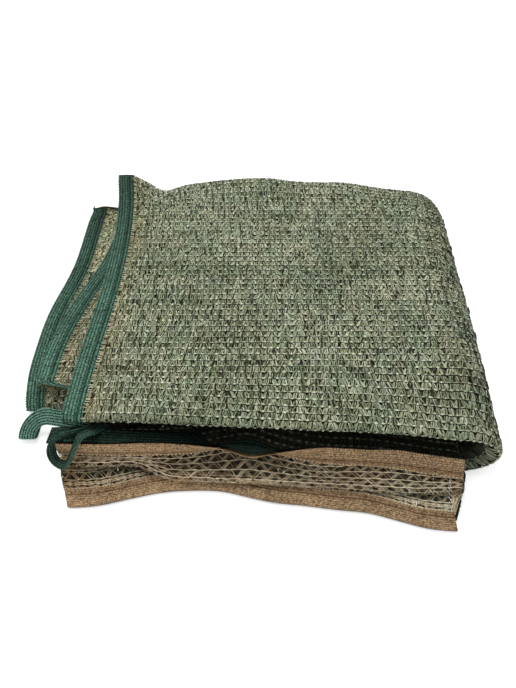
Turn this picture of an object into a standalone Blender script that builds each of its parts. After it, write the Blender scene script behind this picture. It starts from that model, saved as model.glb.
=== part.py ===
# Two-ply camouflage net, folded in three front to back and then in half sideways.
# Each ply is one closed sheet that runs through every fold; knitted tapes bind its edges.
# Lengths in the tables are millimetres; x runs to the right, y away from the front, z up.
import math

import bpy
import numpy as np

MM = 0.001
TAPE = 24.0            # width of the binding tape
HALF_SHEET = 0.5       # half the thickness of a ply or a tape
PLY_AT = 0.75          # from the middle of the two plies to the middle of one
TAPE_AT = 2.05         # the same for a tape
FLOOR_PLY = PLY_AT + HALF_SHEET      # height of the middle where a ply touches the floor
FLOOR_TAPE = TAPE_AT + HALF_SHEET    # the same where a tape does
END_GAP = 0.4          # between the end of one tape and the side of the next
LOOP_THICKNESS, LOOP_STEPS = 1.6, 30      # of a tie loop's doubled tape; its points along the path
ORIGIN = (-3.55, -33.45)  # x and y of the middle of the whole bundle

# ---- how the front edge lies, by x ----
# columns: x, near fold of the top layer, of the bottom layers, front crest of the fourth layer
NEAR = (
    (-300, -231, -171, -174), (-230, -233, -171, -174), (-160, -235, -184, -187),
    (-66, -242, -202, -205), (50, -250, -218, -221), (165, -257, -238, -238),
    (235, -262, -262, -251),
)
# columns: x, y and z of the rounded rear rim of the top layer
BACK_RIM = (
    (-225, 266, 75), (-196, 264, 75), (-176, 260, 66), (-152, 252, 57), (-119, 256, 64),
    (-77, 258, 69.5), (-53, 258, 72.5), (13, 260, 74.5), (66, 258, 69.5), (140, 256, 68.5),
    (205, 253, 59.5), (235, 252, 56.5),
)
# columns: x, y and z of the upper strip's seam, y and z of its free edge
UPPER_STRIP = (
    (-250, -250, 26, -249, 46), (-181, -253, 27, -254, 51), (-113, -251, 25, -251, 49),
    (-67, -247, 25, -253, 47), (-40, -243, 29, -257, 47), (-9, -240, 31, -263, 38),
    (18, -249, 27, -262, 45), (71, -261, 23, -256, 46), (128, -266, 24, -259, 46),
    (160, -271, 25, -260, 46), (190, -277, 25, -265, 45), (235, -284, 24, -272, 44),
)
# columns: x, y and z of the fold in which the open ply hangs below the upper strip, height of that
# ply 20 mm behind the seam, how far it hangs open
HANGING_FOLD = (
    (-250, -264, 20, 27, 1), (-181, -265, 20, 26, 1), (-140, -263, 17, 23.5, 1),
    (-107, -276, 11.5, 22, 1), (-67, -279, 11, 22.5, 1), (-36, -280, 10.5, 26, 1),
    (-9, -281, 10.5, 28.5, 1), (20, -283, 10, 26.5, 1), (71, -287, 10, 23, 1), (150, -294, 10.5, 23, 1),
    (185, -297, 12, 24.5, 0.8), (212, -297, 14, 25.5, 0.45), (250, -298, 15, 26, 0.1),
)
# columns: x, free edge of the lower strip, how high the layer above it still is 26 mm behind its seam
LOWER_STRIP = (
    (-250, -310, 9), (-181, -306, 9), (-147, -297, 7.5), (-113, -289, 5), (-77, -286, 4.5),
    (-44, -287, 4.5), (-5, -297, 4.5), (21, -303, 4.5), (48, -306, 4.5), (89, -312, 4.5),
    (128, -317, 5), (160, -327, 5), (189, -336, 5), (223, -340, 6), (250, -341, 6),
)
# ---- where each layer's side edge lies, by y ----
TOP_SIDE = ((-260, -229), (-170, -226), (-60, -216), (60, -212), (150, -212), (262, -223))
SECOND_SIDE = ((-260, -212), (0, -203), (262, -206))
THIRD_SIDE = (
    (-262, -222), (-250, -222), (-238, -226), (-224, -229), (-205, -228), (-182, -226),
    (-163, -228), (-158, -242), (-151, -272), (-123, -276), (-83, -275), (-39, -269), (25, -251),
    (72, -236), (144, -222), (250, -212),
)
FOURTH_SIDE = (
    (-312, -219), (-283, -219), (-240, -226), (-100, -240), (60, -238), (130, -226), (250, -214),
)
FIFTH_SIDE = (
    (-185, -292), (-163, -296), (-112, -301), (-67, -301), (-28, -300), (5, -297), (45, -287),
    (115, -279), (212, -275), (255, -270),
)
BOTTOM_SIDE = ((-185, -280), (0, -272), (255, -258))

BACK = 250.0
THIRD_NEAR = -110.0                        # where the layers of the lower half start to slope
TOP, SECOND, THIRD = 67.0, 52.0, 37.0      # heights of the upper three layers
FOURTH, FIFTH = 26.0, 14.0                 # heights of the lower ones above the bottom layer
# columns: where the sideways fold starts, how far it bulges, for the outer to the inner layers
OUTER_TURN, MIDDLE_TURN, INNER_TURN = (232.0, 50.0), (231.0, 25.0), (228.0, 9.0)
# how much further the outer layers bulge there, by y
BULGE = (
    (-262, 8), (-235, 9), (-180, 7), (-130, 8), (-80, 10), (0, 9), (120, 9), (180, 11), (240, 8),
    (265, 3),
)

# where the columns lie across the upper half, as shares of its width; steps in the turn and below
COLUMNS_UPPER = (0, 0.09, 0.18, 0.27, 0.36, 0.45, 0.54, 0.63, 0.72, 0.81, 0.88, 0.945, 1)
COLUMNS_TURN, COLUMNS_LOWER = 6, 10


def hermite(x, knots, values):
    """Smooth curve through the values, with each slope taken from the neighbours."""
    knots, values = np.asarray(knots, float), np.asarray(values, float)
    slope = np.gradient(values, knots)
    x = np.clip(x, knots[0], knots[-1])
    i = np.clip(np.searchsorted(knots, x, side="right") - 1, 0, len(knots) - 2)
    step = knots[i + 1] - knots[i]
    u = (x - knots[i]) / step
    return (
        values[i] * (1 + 2 * u) * (1 - u) ** 2 + values[i + 1] * u * u * (3 - 2 * u)
        + slope[i] * step * u * (1 - u) ** 2 - slope[i + 1] * step * u * u * (1 - u)
    )


def column(table, number, at):
    return hermite(at, [row[0] for row in table], [row[number] for row in table])


def wave(x, y, size=1.0):
    """Gentle unevenness of cloth that lies loose."""
    return size * (
        0.9 * np.sin(x / 47 + 0.6) * np.cos(y / 83 + 1.1) + 0.6 * np.sin(x / 93 - y / 61 + 2.0)
    )


def mixed(a, b, share):
    return a + (b - a) * share


def upper_point(name, x):
    near = column(NEAR, 1, x)
    seam_y, seam_z = column(UPPER_STRIP, 1, x), column(UPPER_STRIP, 2, x)
    free_y, free_z = column(UPPER_STRIP, 3, x), column(UPPER_STRIP, 4, x)
    rim_y, rim_z = column(BACK_RIM, 1, x), column(BACK_RIM, 2, x)
    hang_y, hang_z, leg_z, loose_ply = (column(HANGING_FOLD, k, x) for k in (1, 2, 3, 4))
    flat = {
        "back edge": (rim_y + 4, rim_z - 35), "back seam": (rim_y + 5, rim_z - 11),
        "rim": (rim_y, rim_z), "rim front": (rim_y - 14, rim_z + 3),
        "back": (BACK - 50, mixed(TOP, rim_z, 0.3)), "top far": (BACK - 150, TOP), "top middle": (0, TOP),
        "top near": (-130, TOP), "before fold": (near + 24, TOP - 1.5),
        "fold top": (near + 5.5, TOP - 2.5), "fold": (near, TOP - 7),
        "fold under": (near + 5.5, TOP - 11.5), "after fold": (near + 30, TOP - 12.5),
        "second near": (-75, SECOND), "second middle": (0, SECOND),
        "second far": (110, SECOND), "second back": (BACK - 35, SECOND - 1),
        "back fold top": (BACK - 9, SECOND - 3), "back fold": (BACK - 3, (SECOND + THIRD) / 2),
        "back fold under": (BACK - 9, THIRD + 2.5), "third back": (BACK - 35, THIRD),
        "third far": (100, THIRD), "third middle": (0, THIRD), "third halfway": (-65, THIRD),
        "third near": (-130, THIRD - 0.5), "third end": (-150, THIRD - 0.8),
        "third tuck": (-161, THIRD - 1.2),
        "front slope": (seam_y + 68, mixed(seam_z, THIRD, 0.80)),
        "front bend": (seam_y + 34, mixed(seam_z, THIRD, 0.45)),
        "behind seam": (seam_y + 9, seam_z + 1.6), "seam": (seam_y + 1.2, seam_z + 1.6),
        "strip middle": (mixed(seam_y, free_y, 0.45), mixed(seam_z, free_z, 0.45)),
        "front edge": (free_y, free_z),
    }
    # each place: hanging open, then closed up as distance behind the seam, share and drop
    hanging = {
        "under bend": ((seam_y + 20, leg_z), (27, 0.36, 2.8)),
        "hang under": ((hang_y + 12, hang_z - 1.0), (18, 0.22, 3.2)),
        "hang": ((hang_y, hang_z), (13, 0.18, 3.0)),
        "hang over": ((hang_y + 4.5, hang_z + 5), (9, 0.15, 2.4)),
        "hang top": ((mixed(hang_y, seam_y, 0.84), mixed(hang_z, seam_z, 0.66)), (5, 0.13, 1.2)),
    }
    flat["under slope"] = (seam_y + 46, mixed(seam_z, THIRD, 0.58) - 1.8)
    for key, ((y, z), (behind, share, drop)) in hanging.items():
        closed_y, closed_z = seam_y + behind, mixed(seam_z, THIRD, share) - drop
        flat[key] = (mixed(closed_y, y, loose_ply), mixed(closed_z, z, loose_ply))
    y, z = flat[name]
    loose = {"top": 1.0, "second": 0.6, "third": 0.5, "back": 0.0}.get(name.split()[0], 0.0)
    return y + 0 * x, z + wave(x, y + 0 * x, loose)


def lower_point(name, x):
    near = column(NEAR, 2, x)
    free = column(LOWER_STRIP, 1, x)
    seam, rise = free + TAPE, column(LOWER_STRIP, 2, x)
    crest_y, crest = column(NEAR, 3, x), np.interp(x, (100, 190), (FOURTH - 4.5, FOURTH - 6.5))
    flat = {
        "back edge": (BACK, FLOOR_TAPE), "back seam": (BACK - TAPE, FLOOR_TAPE),
        "rim": (BACK - TAPE - 10, FLOOR_PLY), "rim front": (BACK - TAPE - 20, FLOOR_PLY),
        "back": (BACK - 60, FLOOR_PLY), "top far": (BACK - 140, FLOOR_PLY),
        "top middle": (20, FLOOR_PLY), "top near": (-90, FLOOR_PLY),
        "before fold": (near + 24, FLOOR_PLY), "fold top": (near + 5.5, FLOOR_PLY + 1.6),
        "fold": (near, FLOOR_PLY + 6.4), "fold under": (near + 5.5, FIFTH - 1.6),
        "after fold": (near + 30, FIFTH), "second near": (-75, FIFTH),
        "second middle": (0, FIFTH), "second far": (110, FIFTH),
        "second back": (BACK - 35, FIFTH), "back fold top": (BACK - 9, FIFTH + 1.5),
        "back fold": (BACK - 3, (FOURTH + FIFTH) / 2), "back fold under": (BACK - 9, FOURTH - 1.5),
        "third back": (BACK - 35, FOURTH), "third far": (100, FOURTH),
        "third middle": (0, FOURTH), "third halfway": (-60, FOURTH), "third near": (THIRD_NEAR, FOURTH),
        "third end": (mixed(THIRD_NEAR, crest_y, 0.4), mixed(FOURTH, crest, 0.3)),
        "third tuck": (mixed(THIRD_NEAR, crest_y, 0.65), mixed(FOURTH, crest, 0.6)),
        "front slope": (crest_y, crest),
        "front bend": (seam + 26, rise), "behind seam": (seam + 9, mixed(FLOOR_TAPE, rise, 0.22)),
        "seam": (seam, FLOOR_TAPE), "strip middle": (seam - TAPE * 0.5, FLOOR_TAPE),
        "front edge": (free, FLOOR_TAPE),
        "under slope": (crest_y, crest + 0.7), "under bend": (seam + 29, rise + 3.5),
        "hang under": (seam + 22, mixed(FLOOR_TAPE, rise, 0.76) + 2.4),
        "hang": (seam + 15, mixed(FLOOR_TAPE, rise, 0.46) + 1.8),
        "hang over": (seam + 10, mixed(FLOOR_TAPE, rise, 0.25) + 1.2),
        "hang top": (seam + 5, mixed(FLOOR_TAPE, rise, 0.08) + 0.6),
    }
    y, z = flat[name]
    return y + 0 * x, z + 0 * x


# columns: station, share of the way from the outer to the middle turn and on to the inner one,
# layer whose side edge it follows in the upper and the lower half, steps to the next station
SHARED = (
    ("back edge", 0.0, TOP_SIDE, BOTTOM_SIDE, 1), ("back seam", 0.0, TOP_SIDE, BOTTOM_SIDE, 1),
    ("rim", 0.0, TOP_SIDE, BOTTOM_SIDE, 1), ("rim front", 0.0, TOP_SIDE, BOTTOM_SIDE, 1),
    ("back", 0.0, TOP_SIDE, BOTTOM_SIDE, 1), ("top far", 0.0, TOP_SIDE, BOTTOM_SIDE, 1),
    ("top middle", 0.0, TOP_SIDE, BOTTOM_SIDE, 2), ("top near", 0.0, TOP_SIDE, BOTTOM_SIDE, 2),
    ("before fold", 0.0, TOP_SIDE, BOTTOM_SIDE, 1), ("fold top", 0.1, TOP_SIDE, BOTTOM_SIDE, 2),
    ("fold", 0.25, TOP_SIDE, BOTTOM_SIDE, 2), ("fold under", 0.6, TOP_SIDE, FIFTH_SIDE, 1),
    ("after fold", 1.0, SECOND_SIDE, FIFTH_SIDE, 1),
    ("second near", 1.0, SECOND_SIDE, FIFTH_SIDE, 1),
    ("second middle", 1.0, SECOND_SIDE, FIFTH_SIDE, 1),
    ("second far", 1.0, SECOND_SIDE, FIFTH_SIDE, 1),
    ("second back", 1.0, SECOND_SIDE, FIFTH_SIDE, 1),
    ("back fold top", 1.1, SECOND_SIDE, FIFTH_SIDE, 1),
    ("back fold", 1.4, SECOND_SIDE, FIFTH_SIDE, 1),
    ("back fold under", 1.8, THIRD_SIDE, FOURTH_SIDE, 1),
    ("third back", 2.0, THIRD_SIDE, FOURTH_SIDE, 1),
    ("third far", 2.0, THIRD_SIDE, FOURTH_SIDE, 1),
    ("third middle", 2.0, THIRD_SIDE, FOURTH_SIDE, 1),
    ("third halfway", 2.0, THIRD_SIDE, FOURTH_SIDE, 1),
    ("third near", 2.0, THIRD_SIDE, FOURTH_SIDE, 1),
    ("third end", 2.0, THIRD_SIDE, FOURTH_SIDE, 1),
    ("third tuck", 2.0, THIRD_SIDE, FOURTH_SIDE, 1),
)
CLOSE_END = (
    ("front slope", 2.0, THIRD_SIDE, FOURTH_SIDE, 2), ("front bend", 2.0, THIRD_SIDE, FOURTH_SIDE, 2),
    ("behind seam", 2.0, THIRD_SIDE, FOURTH_SIDE, 1), ("seam", 2.0, THIRD_SIDE, FOURTH_SIDE, 1),
    ("strip middle", 2.0, THIRD_SIDE, FOURTH_SIDE, 1), ("front edge", 2.0, THIRD_SIDE, FOURTH_SIDE, 0),
)
LOOSE_END = (
    ("under slope", 2.0, THIRD_SIDE, FOURTH_SIDE, 1), ("under bend", 2.0, THIRD_SIDE, FOURTH_SIDE, 1),
    ("hang under", 2.0, THIRD_SIDE, FOURTH_SIDE, 1), ("hang", 2.0, THIRD_SIDE, FOURTH_SIDE, 1),
    ("hang over", 2.0, THIRD_SIDE, FOURTH_SIDE, 1), ("hang top", 2.0, THIRD_SIDE, FOURTH_SIDE, 1),
    ("seam", 2.0, THIRD_SIDE, FOURTH_SIDE, 1), ("strip middle", 2.0, THIRD_SIDE, FOURTH_SIDE, 1),
    ("front edge", 2.0, THIRD_SIDE, FOURTH_SIDE, 0),
)


def row_of(station):
    """One station's points along the sheet: upper half, sideways fold, lower half."""
    name, inward, upper_side, lower_side, _ = station
    start = np.interp(inward, (0, 1, 2), (OUTER_TURN[0], MIDDLE_TURN[0], INNER_TURN[0]))
    bulge = np.interp(inward, (0, 1, 2), (OUTER_TURN[1], MIDDLE_TURN[1], INNER_TURN[1]))
    y_start = upper_point(name, np.array([start]))[0][0]
    bulge = bulge + column(BULGE, 1, y_start) * max(0, 1 - inward)
    middle = np.array([-200.0])
    left_up = float(column(upper_side, 1, upper_point(name, middle)[0])[0])
    left_low = float(column(lower_side, 1, lower_point(name, middle)[0])[0])
    inner_up = left_up + TAPE + (start - left_up - TAPE) * np.array(COLUMNS_UPPER)
    x_up = np.concatenate([[left_up], inner_up])
    x_low = np.concatenate([np.linspace(start, left_low + TAPE, COLUMNS_LOWER + 1), [left_low]])
    y_up, z_up = upper_point(name, x_up)
    y_low, z_low = lower_point(name, x_low)
    z_low[-2:] = np.maximum(z_low[-2:], FLOOR_TAPE)
    angle = np.linspace(0, math.pi, COLUMNS_TURN + 1)[1:-1]
    across = (1 + np.cos(angle)) / 2
    x_turn = start + bulge * np.sin(angle)
    y_turn = y_low[0] + (y_up[-1] - y_low[0]) * across
    z_turn = z_low[0] + (z_up[-1] - z_low[0]) * across
    return np.stack([
        np.concatenate([x_up, x_turn, x_low]), np.concatenate([y_up, y_turn, y_low]),
        np.concatenate([z_up, z_turn, z_low]),
    ], 1)


def through(rows, steps):
    """Rows of a smooth surface through the stations' rows, with the steps asked for between them."""
    rows = np.array(rows)
    knots = np.concatenate([[0], np.cumsum(np.sqrt(
        np.linalg.norm(np.diff(rows, axis=0), axis=2).mean(1)))])
    slope = np.gradient(rows, knots, axis=0)
    result = []
    for i, count in enumerate(steps[:-1]):
        step = knots[i + 1] - knots[i]
        for u in np.arange(count) / count:
            result.append(
                rows[i] * (1 + 2 * u) * (1 - u) ** 2 + rows[i + 1] * u * u * (3 - 2 * u)
                + slope[i] * step * u * (1 - u) ** 2 - slope[i + 1] * step * u * u * (1 - u)
            )
    result = np.array(result + [rows[-1]])
    result[..., 2] = np.maximum(result[..., 2], FLOOR_PLY)
    return result


def sheet_grid(end):
    used = SHARED + end
    steps = [station[4] for station in used]
    names = [station[0] for station in used]
    starts = dict(zip(names, np.concatenate([[0], np.cumsum(steps[:-1])])))
    return through([row_of(station) for station in used], steps), starts


def normals_of(grid):
    along = np.gradient(grid, axis=1)
    across = np.gradient(grid, axis=0)
    normal = np.cross(across, along)
    return normal / np.linalg.norm(normal, axis=2, keepdims=True)


def closed_sheet(grid, normal, low, high):
    """Vertices and faces of a sheet between two distances from the grid."""
    rows, columns = grid.shape[:2]
    points = np.concatenate([(grid + normal * high).reshape(-1, 3), (grid + normal * low).reshape(-1, 3)])
    points[:, 2] = np.maximum(points[:, 2], 0)
    count = rows * columns
    faces = []
    for i in range(rows - 1):
        for j in range(columns - 1):
            a, d = i * columns + j, (i + 1) * columns + j
            b, c = a + 1, d + 1
            faces += [(a, d, c), (a, c, b)]
            faces += [(a + count, c + count, d + count), (a + count, b + count, c + count)]
    rim = (
        [(0, j) for j in range(columns)] + [(i, columns - 1) for i in range(1, rows)]
        + [(rows - 1, j) for j in range(columns - 2, -1, -1)] + [(i, 0) for i in range(rows - 2, 0, -1)]
    )
    for (i, j), (k, m) in zip(rim, rim[1:] + rim[:1]):
        a, b = i * columns + j, k * columns + m
        faces += [(a, b, b + count), (a, b + count, a + count)]
    return points, faces


def add_object(name, points, faces, colour, roughness):
    mesh = bpy.data.meshes.new(name)
    moved = (np.asarray(points) - (ORIGIN[0], ORIGIN[1], 0)) * MM
    mesh.from_pydata([tuple(p) for p in moved], [], [tuple(int(v) for v in f) for f in faces])
    mesh.validate()
    mesh.shade_smooth()
    mesh.set_sharp_from_angle(angle=math.radians(50))
    material = bpy.data.materials.new(name)
    material.use_nodes = True
    shader = material.node_tree.nodes["Principled BSDF"]
    shader.inputs["Base Color"].default_value = (*colour, 1)
    shader.inputs["Roughness"].default_value = roughness
    mesh.materials.append(material)
    item = bpy.data.objects.new(name, mesh)
    bpy.context.scene.collection.objects.link(item)
    return item


def shortened(grid):
    """The same strip with both its ends drawn in by a small gap."""
    grid = grid.copy()
    for end, inner in ((0, 1), (-1, -2)):
        away = grid[inner] - grid[end]
        grid[end] += away / np.linalg.norm(away, axis=1, keepdims=True) * END_GAP
    return grid


def band(path, wide, thickness, width):
    """A ribbon along the path, with its width along the second list of directions."""
    path, wide = np.array(path, float), np.array(wide, float)
    wide /= np.linalg.norm(wide, axis=1, keepdims=True)
    ahead = np.gradient(path, axis=0)
    flat = np.cross(ahead, wide)
    flat /= np.linalg.norm(flat, axis=1, keepdims=True)
    grid = np.stack([path - wide * width / 2, path, path + wide * width / 2], 1)
    normal = np.repeat(flat[:, None], 3, 1)
    return closed_sheet(grid, normal, -thickness / 2, thickness / 2)


def rounded(points, count):
    """A smooth curve of this many points through the given ones, evenly spaced."""
    points = np.array(points, float)
    length = np.concatenate([[0], np.cumsum(np.linalg.norm(np.diff(points, axis=0), axis=1))])
    at = np.linspace(0, length[-1], count)
    return np.stack([hermite(at, length, points[:, k]) for k in range(points.shape[1])], 1)


for item in list(bpy.data.objects):
    bpy.data.objects.remove(item, do_unlink=True)

GREEN, OLIVE = (0.025, 0.085, 0.065), (0.17, 0.19, 0.11)
TAN, SAND = (0.42, 0.28, 0.17), (0.40, 0.32, 0.22)

close, close_at = sheet_grid(CLOSE_END)
loose, loose_at = sheet_grid(LOOSE_END)
close_normal, loose_normal = normals_of(close), normals_of(loose)

green_ply = closed_sheet(close, close_normal, PLY_AT - HALF_SHEET, PLY_AT + HALF_SHEET)
tan_ply = closed_sheet(loose, loose_normal, -PLY_AT - HALF_SHEET, -PLY_AT + HALF_SHEET)
add_object("net_green", *green_ply, OLIVE, 0.8)
add_object("net_tan", *tan_ply, SAND, 0.85)

# columns: node, ply it lies on, first and last row, first and last column, ends drawn in
last = close.shape[1] - 1
TAPES = (
    ("tape_green_front", "green", "seam", "front edge", 0, last, False),
    ("tape_tan_front", "tan", "seam", "front edge", 0, last, False),
    ("tape_green_back", "green", "back edge", "back seam", 0, last, False),
    ("tape_tan_back", "tan", "back edge", "back seam", 0, last, False),
    ("tape_green_left_upper", "green", "back seam", "front bend", 0, 1, True),
    ("tape_tan_left_upper", "tan", "back seam", "under slope", 0, 1, True),
    ("tape_green_left_lower", "green", "back seam", "front slope", last - 1, last, True),
    ("tape_tan_left_lower", "tan", "back seam", "under slope", last - 1, last, True),
)
PLIES = {
    "green": (close, close_normal, close_at, 1, GREEN),
    "tan": (loose, loose_normal, loose_at, -1, TAN),
}
for name, ply, row_0, row_1, column_0, column_1, drawn_in in TAPES:
    grid, normal, at, side, colour = PLIES[ply]
    rows, columns = slice(at[row_0], at[row_1] + 1), slice(column_0, column_1 + 1)
    strip = shortened(grid[rows, columns]) if drawn_in else grid[rows, columns]
    low, high = sorted((side * (TAPE_AT - HALF_SHEET), side * (TAPE_AT + HALF_SHEET)))
    add_object(name, *closed_sheet(strip, normal[rows, columns], low, high), colour, 0.75)

# ---- corner loops of doubled tape ----
# columns: x, y, z of the path, then the direction of the tape's width
LOOP_UPPER = (
    (-200, -214, 34.6, 0, 0.99, 0.10), (-221, -214, 42, 0, 0.92, 0.40),
    (-242, -210, 43.5, 0, 0.84, 0.54), (-258, -204, 38, -0.10, 0.80, 0.60),
    (-271, -203, 30, -0.55, 0.68, 0.46), (-281, -208, 19, -0.95, 0.28, 0.10),
    (-284, -214, 8.5, -1, 0, 0), (-283, -209, 3.4, -1, 0, 0), (-281, -201, 6, -0.98, 0.20, 0.05),
    (-276, -193, 15, -0.70, 0.55, 0.40), (-265, -191, 24, -0.30, 0.75, 0.58),
    (-253, -195, 29, 0, 0.80, 0.60),
)
LOOP_LOWER = (
    (-186, -212, 34.8, 0.93, -0.36, -0.06), (-191, -226, 42.5, 0.89, -0.42, -0.14),
    (-197, -239, 52, 0.87, -0.50, -0.04), (-205, -250, 57, 0.72, -0.63, 0.30),
    (-213, -261, 51.5, 0.47, -0.85, 0.22), (-222, -266, 37, 0.30, -0.95, 0.02),
    (-231, -267, 27, -0.15, -0.99, -0.02), (-241, -263, 27, -0.48, -0.84, 0.24),
    (-247, -256, 36, -0.64, -0.65, 0.41), (-243, -251, 46, -0.58, -0.31, 0.75),
    (-232, -245, 51, -0.22, -0.11, 0.97), (-216, -238, 49, 0.10, 0.05, 0.99),
    (-203, -229, 43, 0.20, 0.10, 0.97),
)
for name, table, width in (("loop_upper", LOOP_UPPER, 20.0), ("loop_lower", LOOP_LOWER, 14.0)):
    path = rounded(table, LOOP_STEPS)
    points, faces = band(path[:, :3], path[:, 3:], LOOP_THICKNESS, width)
    add_object(name, points, faces, GREEN, 0.75)
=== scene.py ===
# %% [markdown]
# # A folded camouflage net
# The real thing is a reversible net of two knitted plies: a dense green and olive one, and an
# open tan one. Ribbed knitted tape binds its edges, and two tie loops sit at one corner. It lies
# folded in three and then in half. It could be one sheet with a pattern on it, but then its holes
# would be painted ones. Here every yarn is a small ribbon that follows the folds, because the
# holes between the yarns are what makes a net look like a net.

# %% Load the fixed model
import math

import bpy
import numpy as np
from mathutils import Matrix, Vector


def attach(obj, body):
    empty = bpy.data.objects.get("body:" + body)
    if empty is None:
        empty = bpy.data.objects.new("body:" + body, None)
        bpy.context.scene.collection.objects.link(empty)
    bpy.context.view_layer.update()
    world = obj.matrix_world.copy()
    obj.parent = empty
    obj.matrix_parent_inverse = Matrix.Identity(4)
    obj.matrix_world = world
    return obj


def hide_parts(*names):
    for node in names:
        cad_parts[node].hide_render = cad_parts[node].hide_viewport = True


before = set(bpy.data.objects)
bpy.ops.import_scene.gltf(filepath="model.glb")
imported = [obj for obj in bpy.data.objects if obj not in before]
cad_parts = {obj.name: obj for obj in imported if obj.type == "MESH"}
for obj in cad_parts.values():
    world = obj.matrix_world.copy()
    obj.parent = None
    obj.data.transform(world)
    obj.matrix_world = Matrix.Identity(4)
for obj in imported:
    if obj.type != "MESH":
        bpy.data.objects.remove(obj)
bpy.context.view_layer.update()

# %% [markdown]
# ## How the cloth lies
# Both plies share one surface, half way between them. It runs from the back edge over the top,
# round the front fold, back underneath, round again and forward to the front edge, and every one
# of those rows also turns round the sideways fold at the right. A cloth simulation would choose
# folds of its own, so short tables say where the folds and edges lie, in millimetres, and smooth
# curves join the rows of each table.

# %% Sizes and places
MM = 0.001
TAPE = 24.0            # width of the binding tape
PLY_AT = 0.75          # from the middle of the two plies to the middle of one
TAPE_AT = 2.05         # the same for a tape
FLOOR_PLY, FLOOR_TAPE = 1.25, 2.55     # the lowest heights of the middle surface
ORIGIN = (-3.55, -33.45)               # the middle of the bundle, in the places of the tables

# columns: x, near fold of the top layer, of the bottom layers, front crest of the fourth layer
NEAR = (
    (-300, -227, -166, -169), (-262, -227, -169, -172), (-230, -228, -171, -174),
    (-160, -229, -184, -187), (-66, -234, -202, -205), (50, -240, -218, -221),
    (165, -247, -238, -238), (235, -256, -262, -251),
)
# columns: x, y and z of the rounded rear rim of the top layer
BACK_RIM = (
    (-225, 266, 75), (-196, 264, 75), (-176, 260, 66), (-152, 252, 57), (-119, 256, 64),
    (-77, 258, 69.5), (-53, 258, 72.5), (13, 260, 74.5), (66, 258, 69.5), (140, 256, 68.5),
    (205, 253, 59.5), (235, 252, 56.5),
)
# columns: x, y and z of the upper strip's seam, y and z of its free edge
UPPER_STRIP = (
    (-250, -250, 26, -249, 46), (-181, -253, 27, -254, 51), (-113, -251, 25, -251, 49),
    (-67, -247, 25, -253, 47), (-40, -243, 29, -257, 47), (-9, -240, 31, -263, 38),
    (18, -249, 27, -262, 45), (71, -261, 23, -256, 46), (128, -266, 24, -259, 46),
    (160, -271, 25, -260, 46), (190, -277, 25, -265, 45), (235, -284, 24, -272, 44),
)
# columns: x, y and z of the fold in which the open ply hangs below the upper strip, height of that
# ply 20 mm behind the seam, how far it hangs open
HANGING_FOLD = (
    (-250, -264, 20, 27, 1), (-181, -265, 20, 26, 1), (-140, -263, 17, 23.5, 1),
    (-107, -276, 11.5, 22, 1), (-67, -279, 11, 22.5, 1), (-36, -280, 10.5, 26, 1),
    (-9, -281, 10.5, 28.5, 1), (20, -283, 10, 26.5, 1), (71, -287, 10, 23, 1), (150, -294, 10.5, 23, 1),
    (185, -297, 11, 24, 1), (212, -298, 11.5, 24.5, 0.95), (250, -298, 12, 25, 0.9),
)
# columns: x, free edge of the lower strip, how high the layer above it still is 26 mm behind its seam
LOWER_STRIP = (
    (-250, -310, 9), (-181, -306, 9), (-147, -297, 7.5), (-113, -289, 5), (-77, -286, 4.5),
    (-44, -287, 4.5), (-5, -297, 4.5), (21, -303, 4.5), (48, -306, 4.5), (89, -312, 4.5),
    (128, -317, 5), (160, -327, 5), (189, -336, 5), (223, -340, 6), (250, -341, 6),
)
# where each layer's side edge lies, by y
TOP_SIDE = ((-260, -229), (-170, -226), (-60, -216), (60, -212), (150, -212), (262, -223))
SECOND_SIDE = ((-260, -212), (0, -203), (262, -206))
THIRD_SIDE = (
    (-262, -235), (-250, -234), (-238, -231), (-224, -229), (-205, -228), (-182, -226),
    (-163, -228), (-158, -242), (-151, -272), (-123, -276), (-83, -275), (-39, -269), (25, -251),
    (72, -236), (144, -222), (250, -212),
)
FOURTH_SIDE = (
    (-314, -217), (-309, -218), (-286, -225), (-273, -229.5), (-258, -233), (-240, -234),
    (-100, -240), (60, -238), (130, -226), (250, -214),
)
FIFTH_SIDE = (
    (-185, -292), (-163, -296), (-112, -301), (-67, -301), (-28, -300), (5, -297), (45, -287),
    (115, -279), (212, -275), (255, -270),
)
BOTTOM_SIDE = ((-185, -294), (-100, -290), (0, -284), (255, -264))

BACK = 250.0
CORNER = 12.0          # how much further back the lower layers reach at their left corner
TOP, SECOND, THIRD = 67.0, 52.0, 37.0      # heights of the upper three layers
FOURTH, FIFTH = 26.0, 14.0                 # heights of the lower ones above the bottom layer
# columns: where the sideways fold starts, how far it bulges, for the outer to the inner layers
OUTER_TURN, MIDDLE_TURN, INNER_TURN = (232.0, 50.0), (231.0, 25.0), (228.0, 9.0)
# how much further the outer layers bulge there, by y
BULGE = (
    (-262, 8), (-235, 3), (-180, 3), (-130, 7), (-80, 10), (0, 9), (120, 9), (180, 11), (240, 8),
    (265, 3),
)
# the same for the front edge: upper start, lower start, bulge
FRONT_TURN = (236.0, 223.0, 2.0)
FRONT_NEARS = (240, 300)       # distances in front of the origin where that turn takes over
CREST = 5.5                    # from the crest of a front fold back to where it lies level
SIDE_AT = -200.0               # x at which a station's y is read, to find its side edge
print("the bundle's tables have", len(UPPER_STRIP) + len(LOWER_STRIP), "rows for its two strips")


# %% Smooth curves through the tables
def hermite(x, knots, values):
    """Smooth curve through the values, with each slope taken from the neighbours."""
    knots, values = np.asarray(knots, float), np.asarray(values, float)
    slope = np.gradient(values, knots)
    x = np.clip(x, knots[0], knots[-1])
    i = np.clip(np.searchsorted(knots, x, side="right") - 1, 0, len(knots) - 2)
    step = knots[i + 1] - knots[i]
    u = (x - knots[i]) / step
    return (
        values[i] * (1 + 2 * u) * (1 - u) ** 2 + values[i + 1] * u * u * (3 - 2 * u)
        + slope[i] * step * u * (1 - u) ** 2 - slope[i + 1] * step * u * u * (1 - u)
    )


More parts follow.
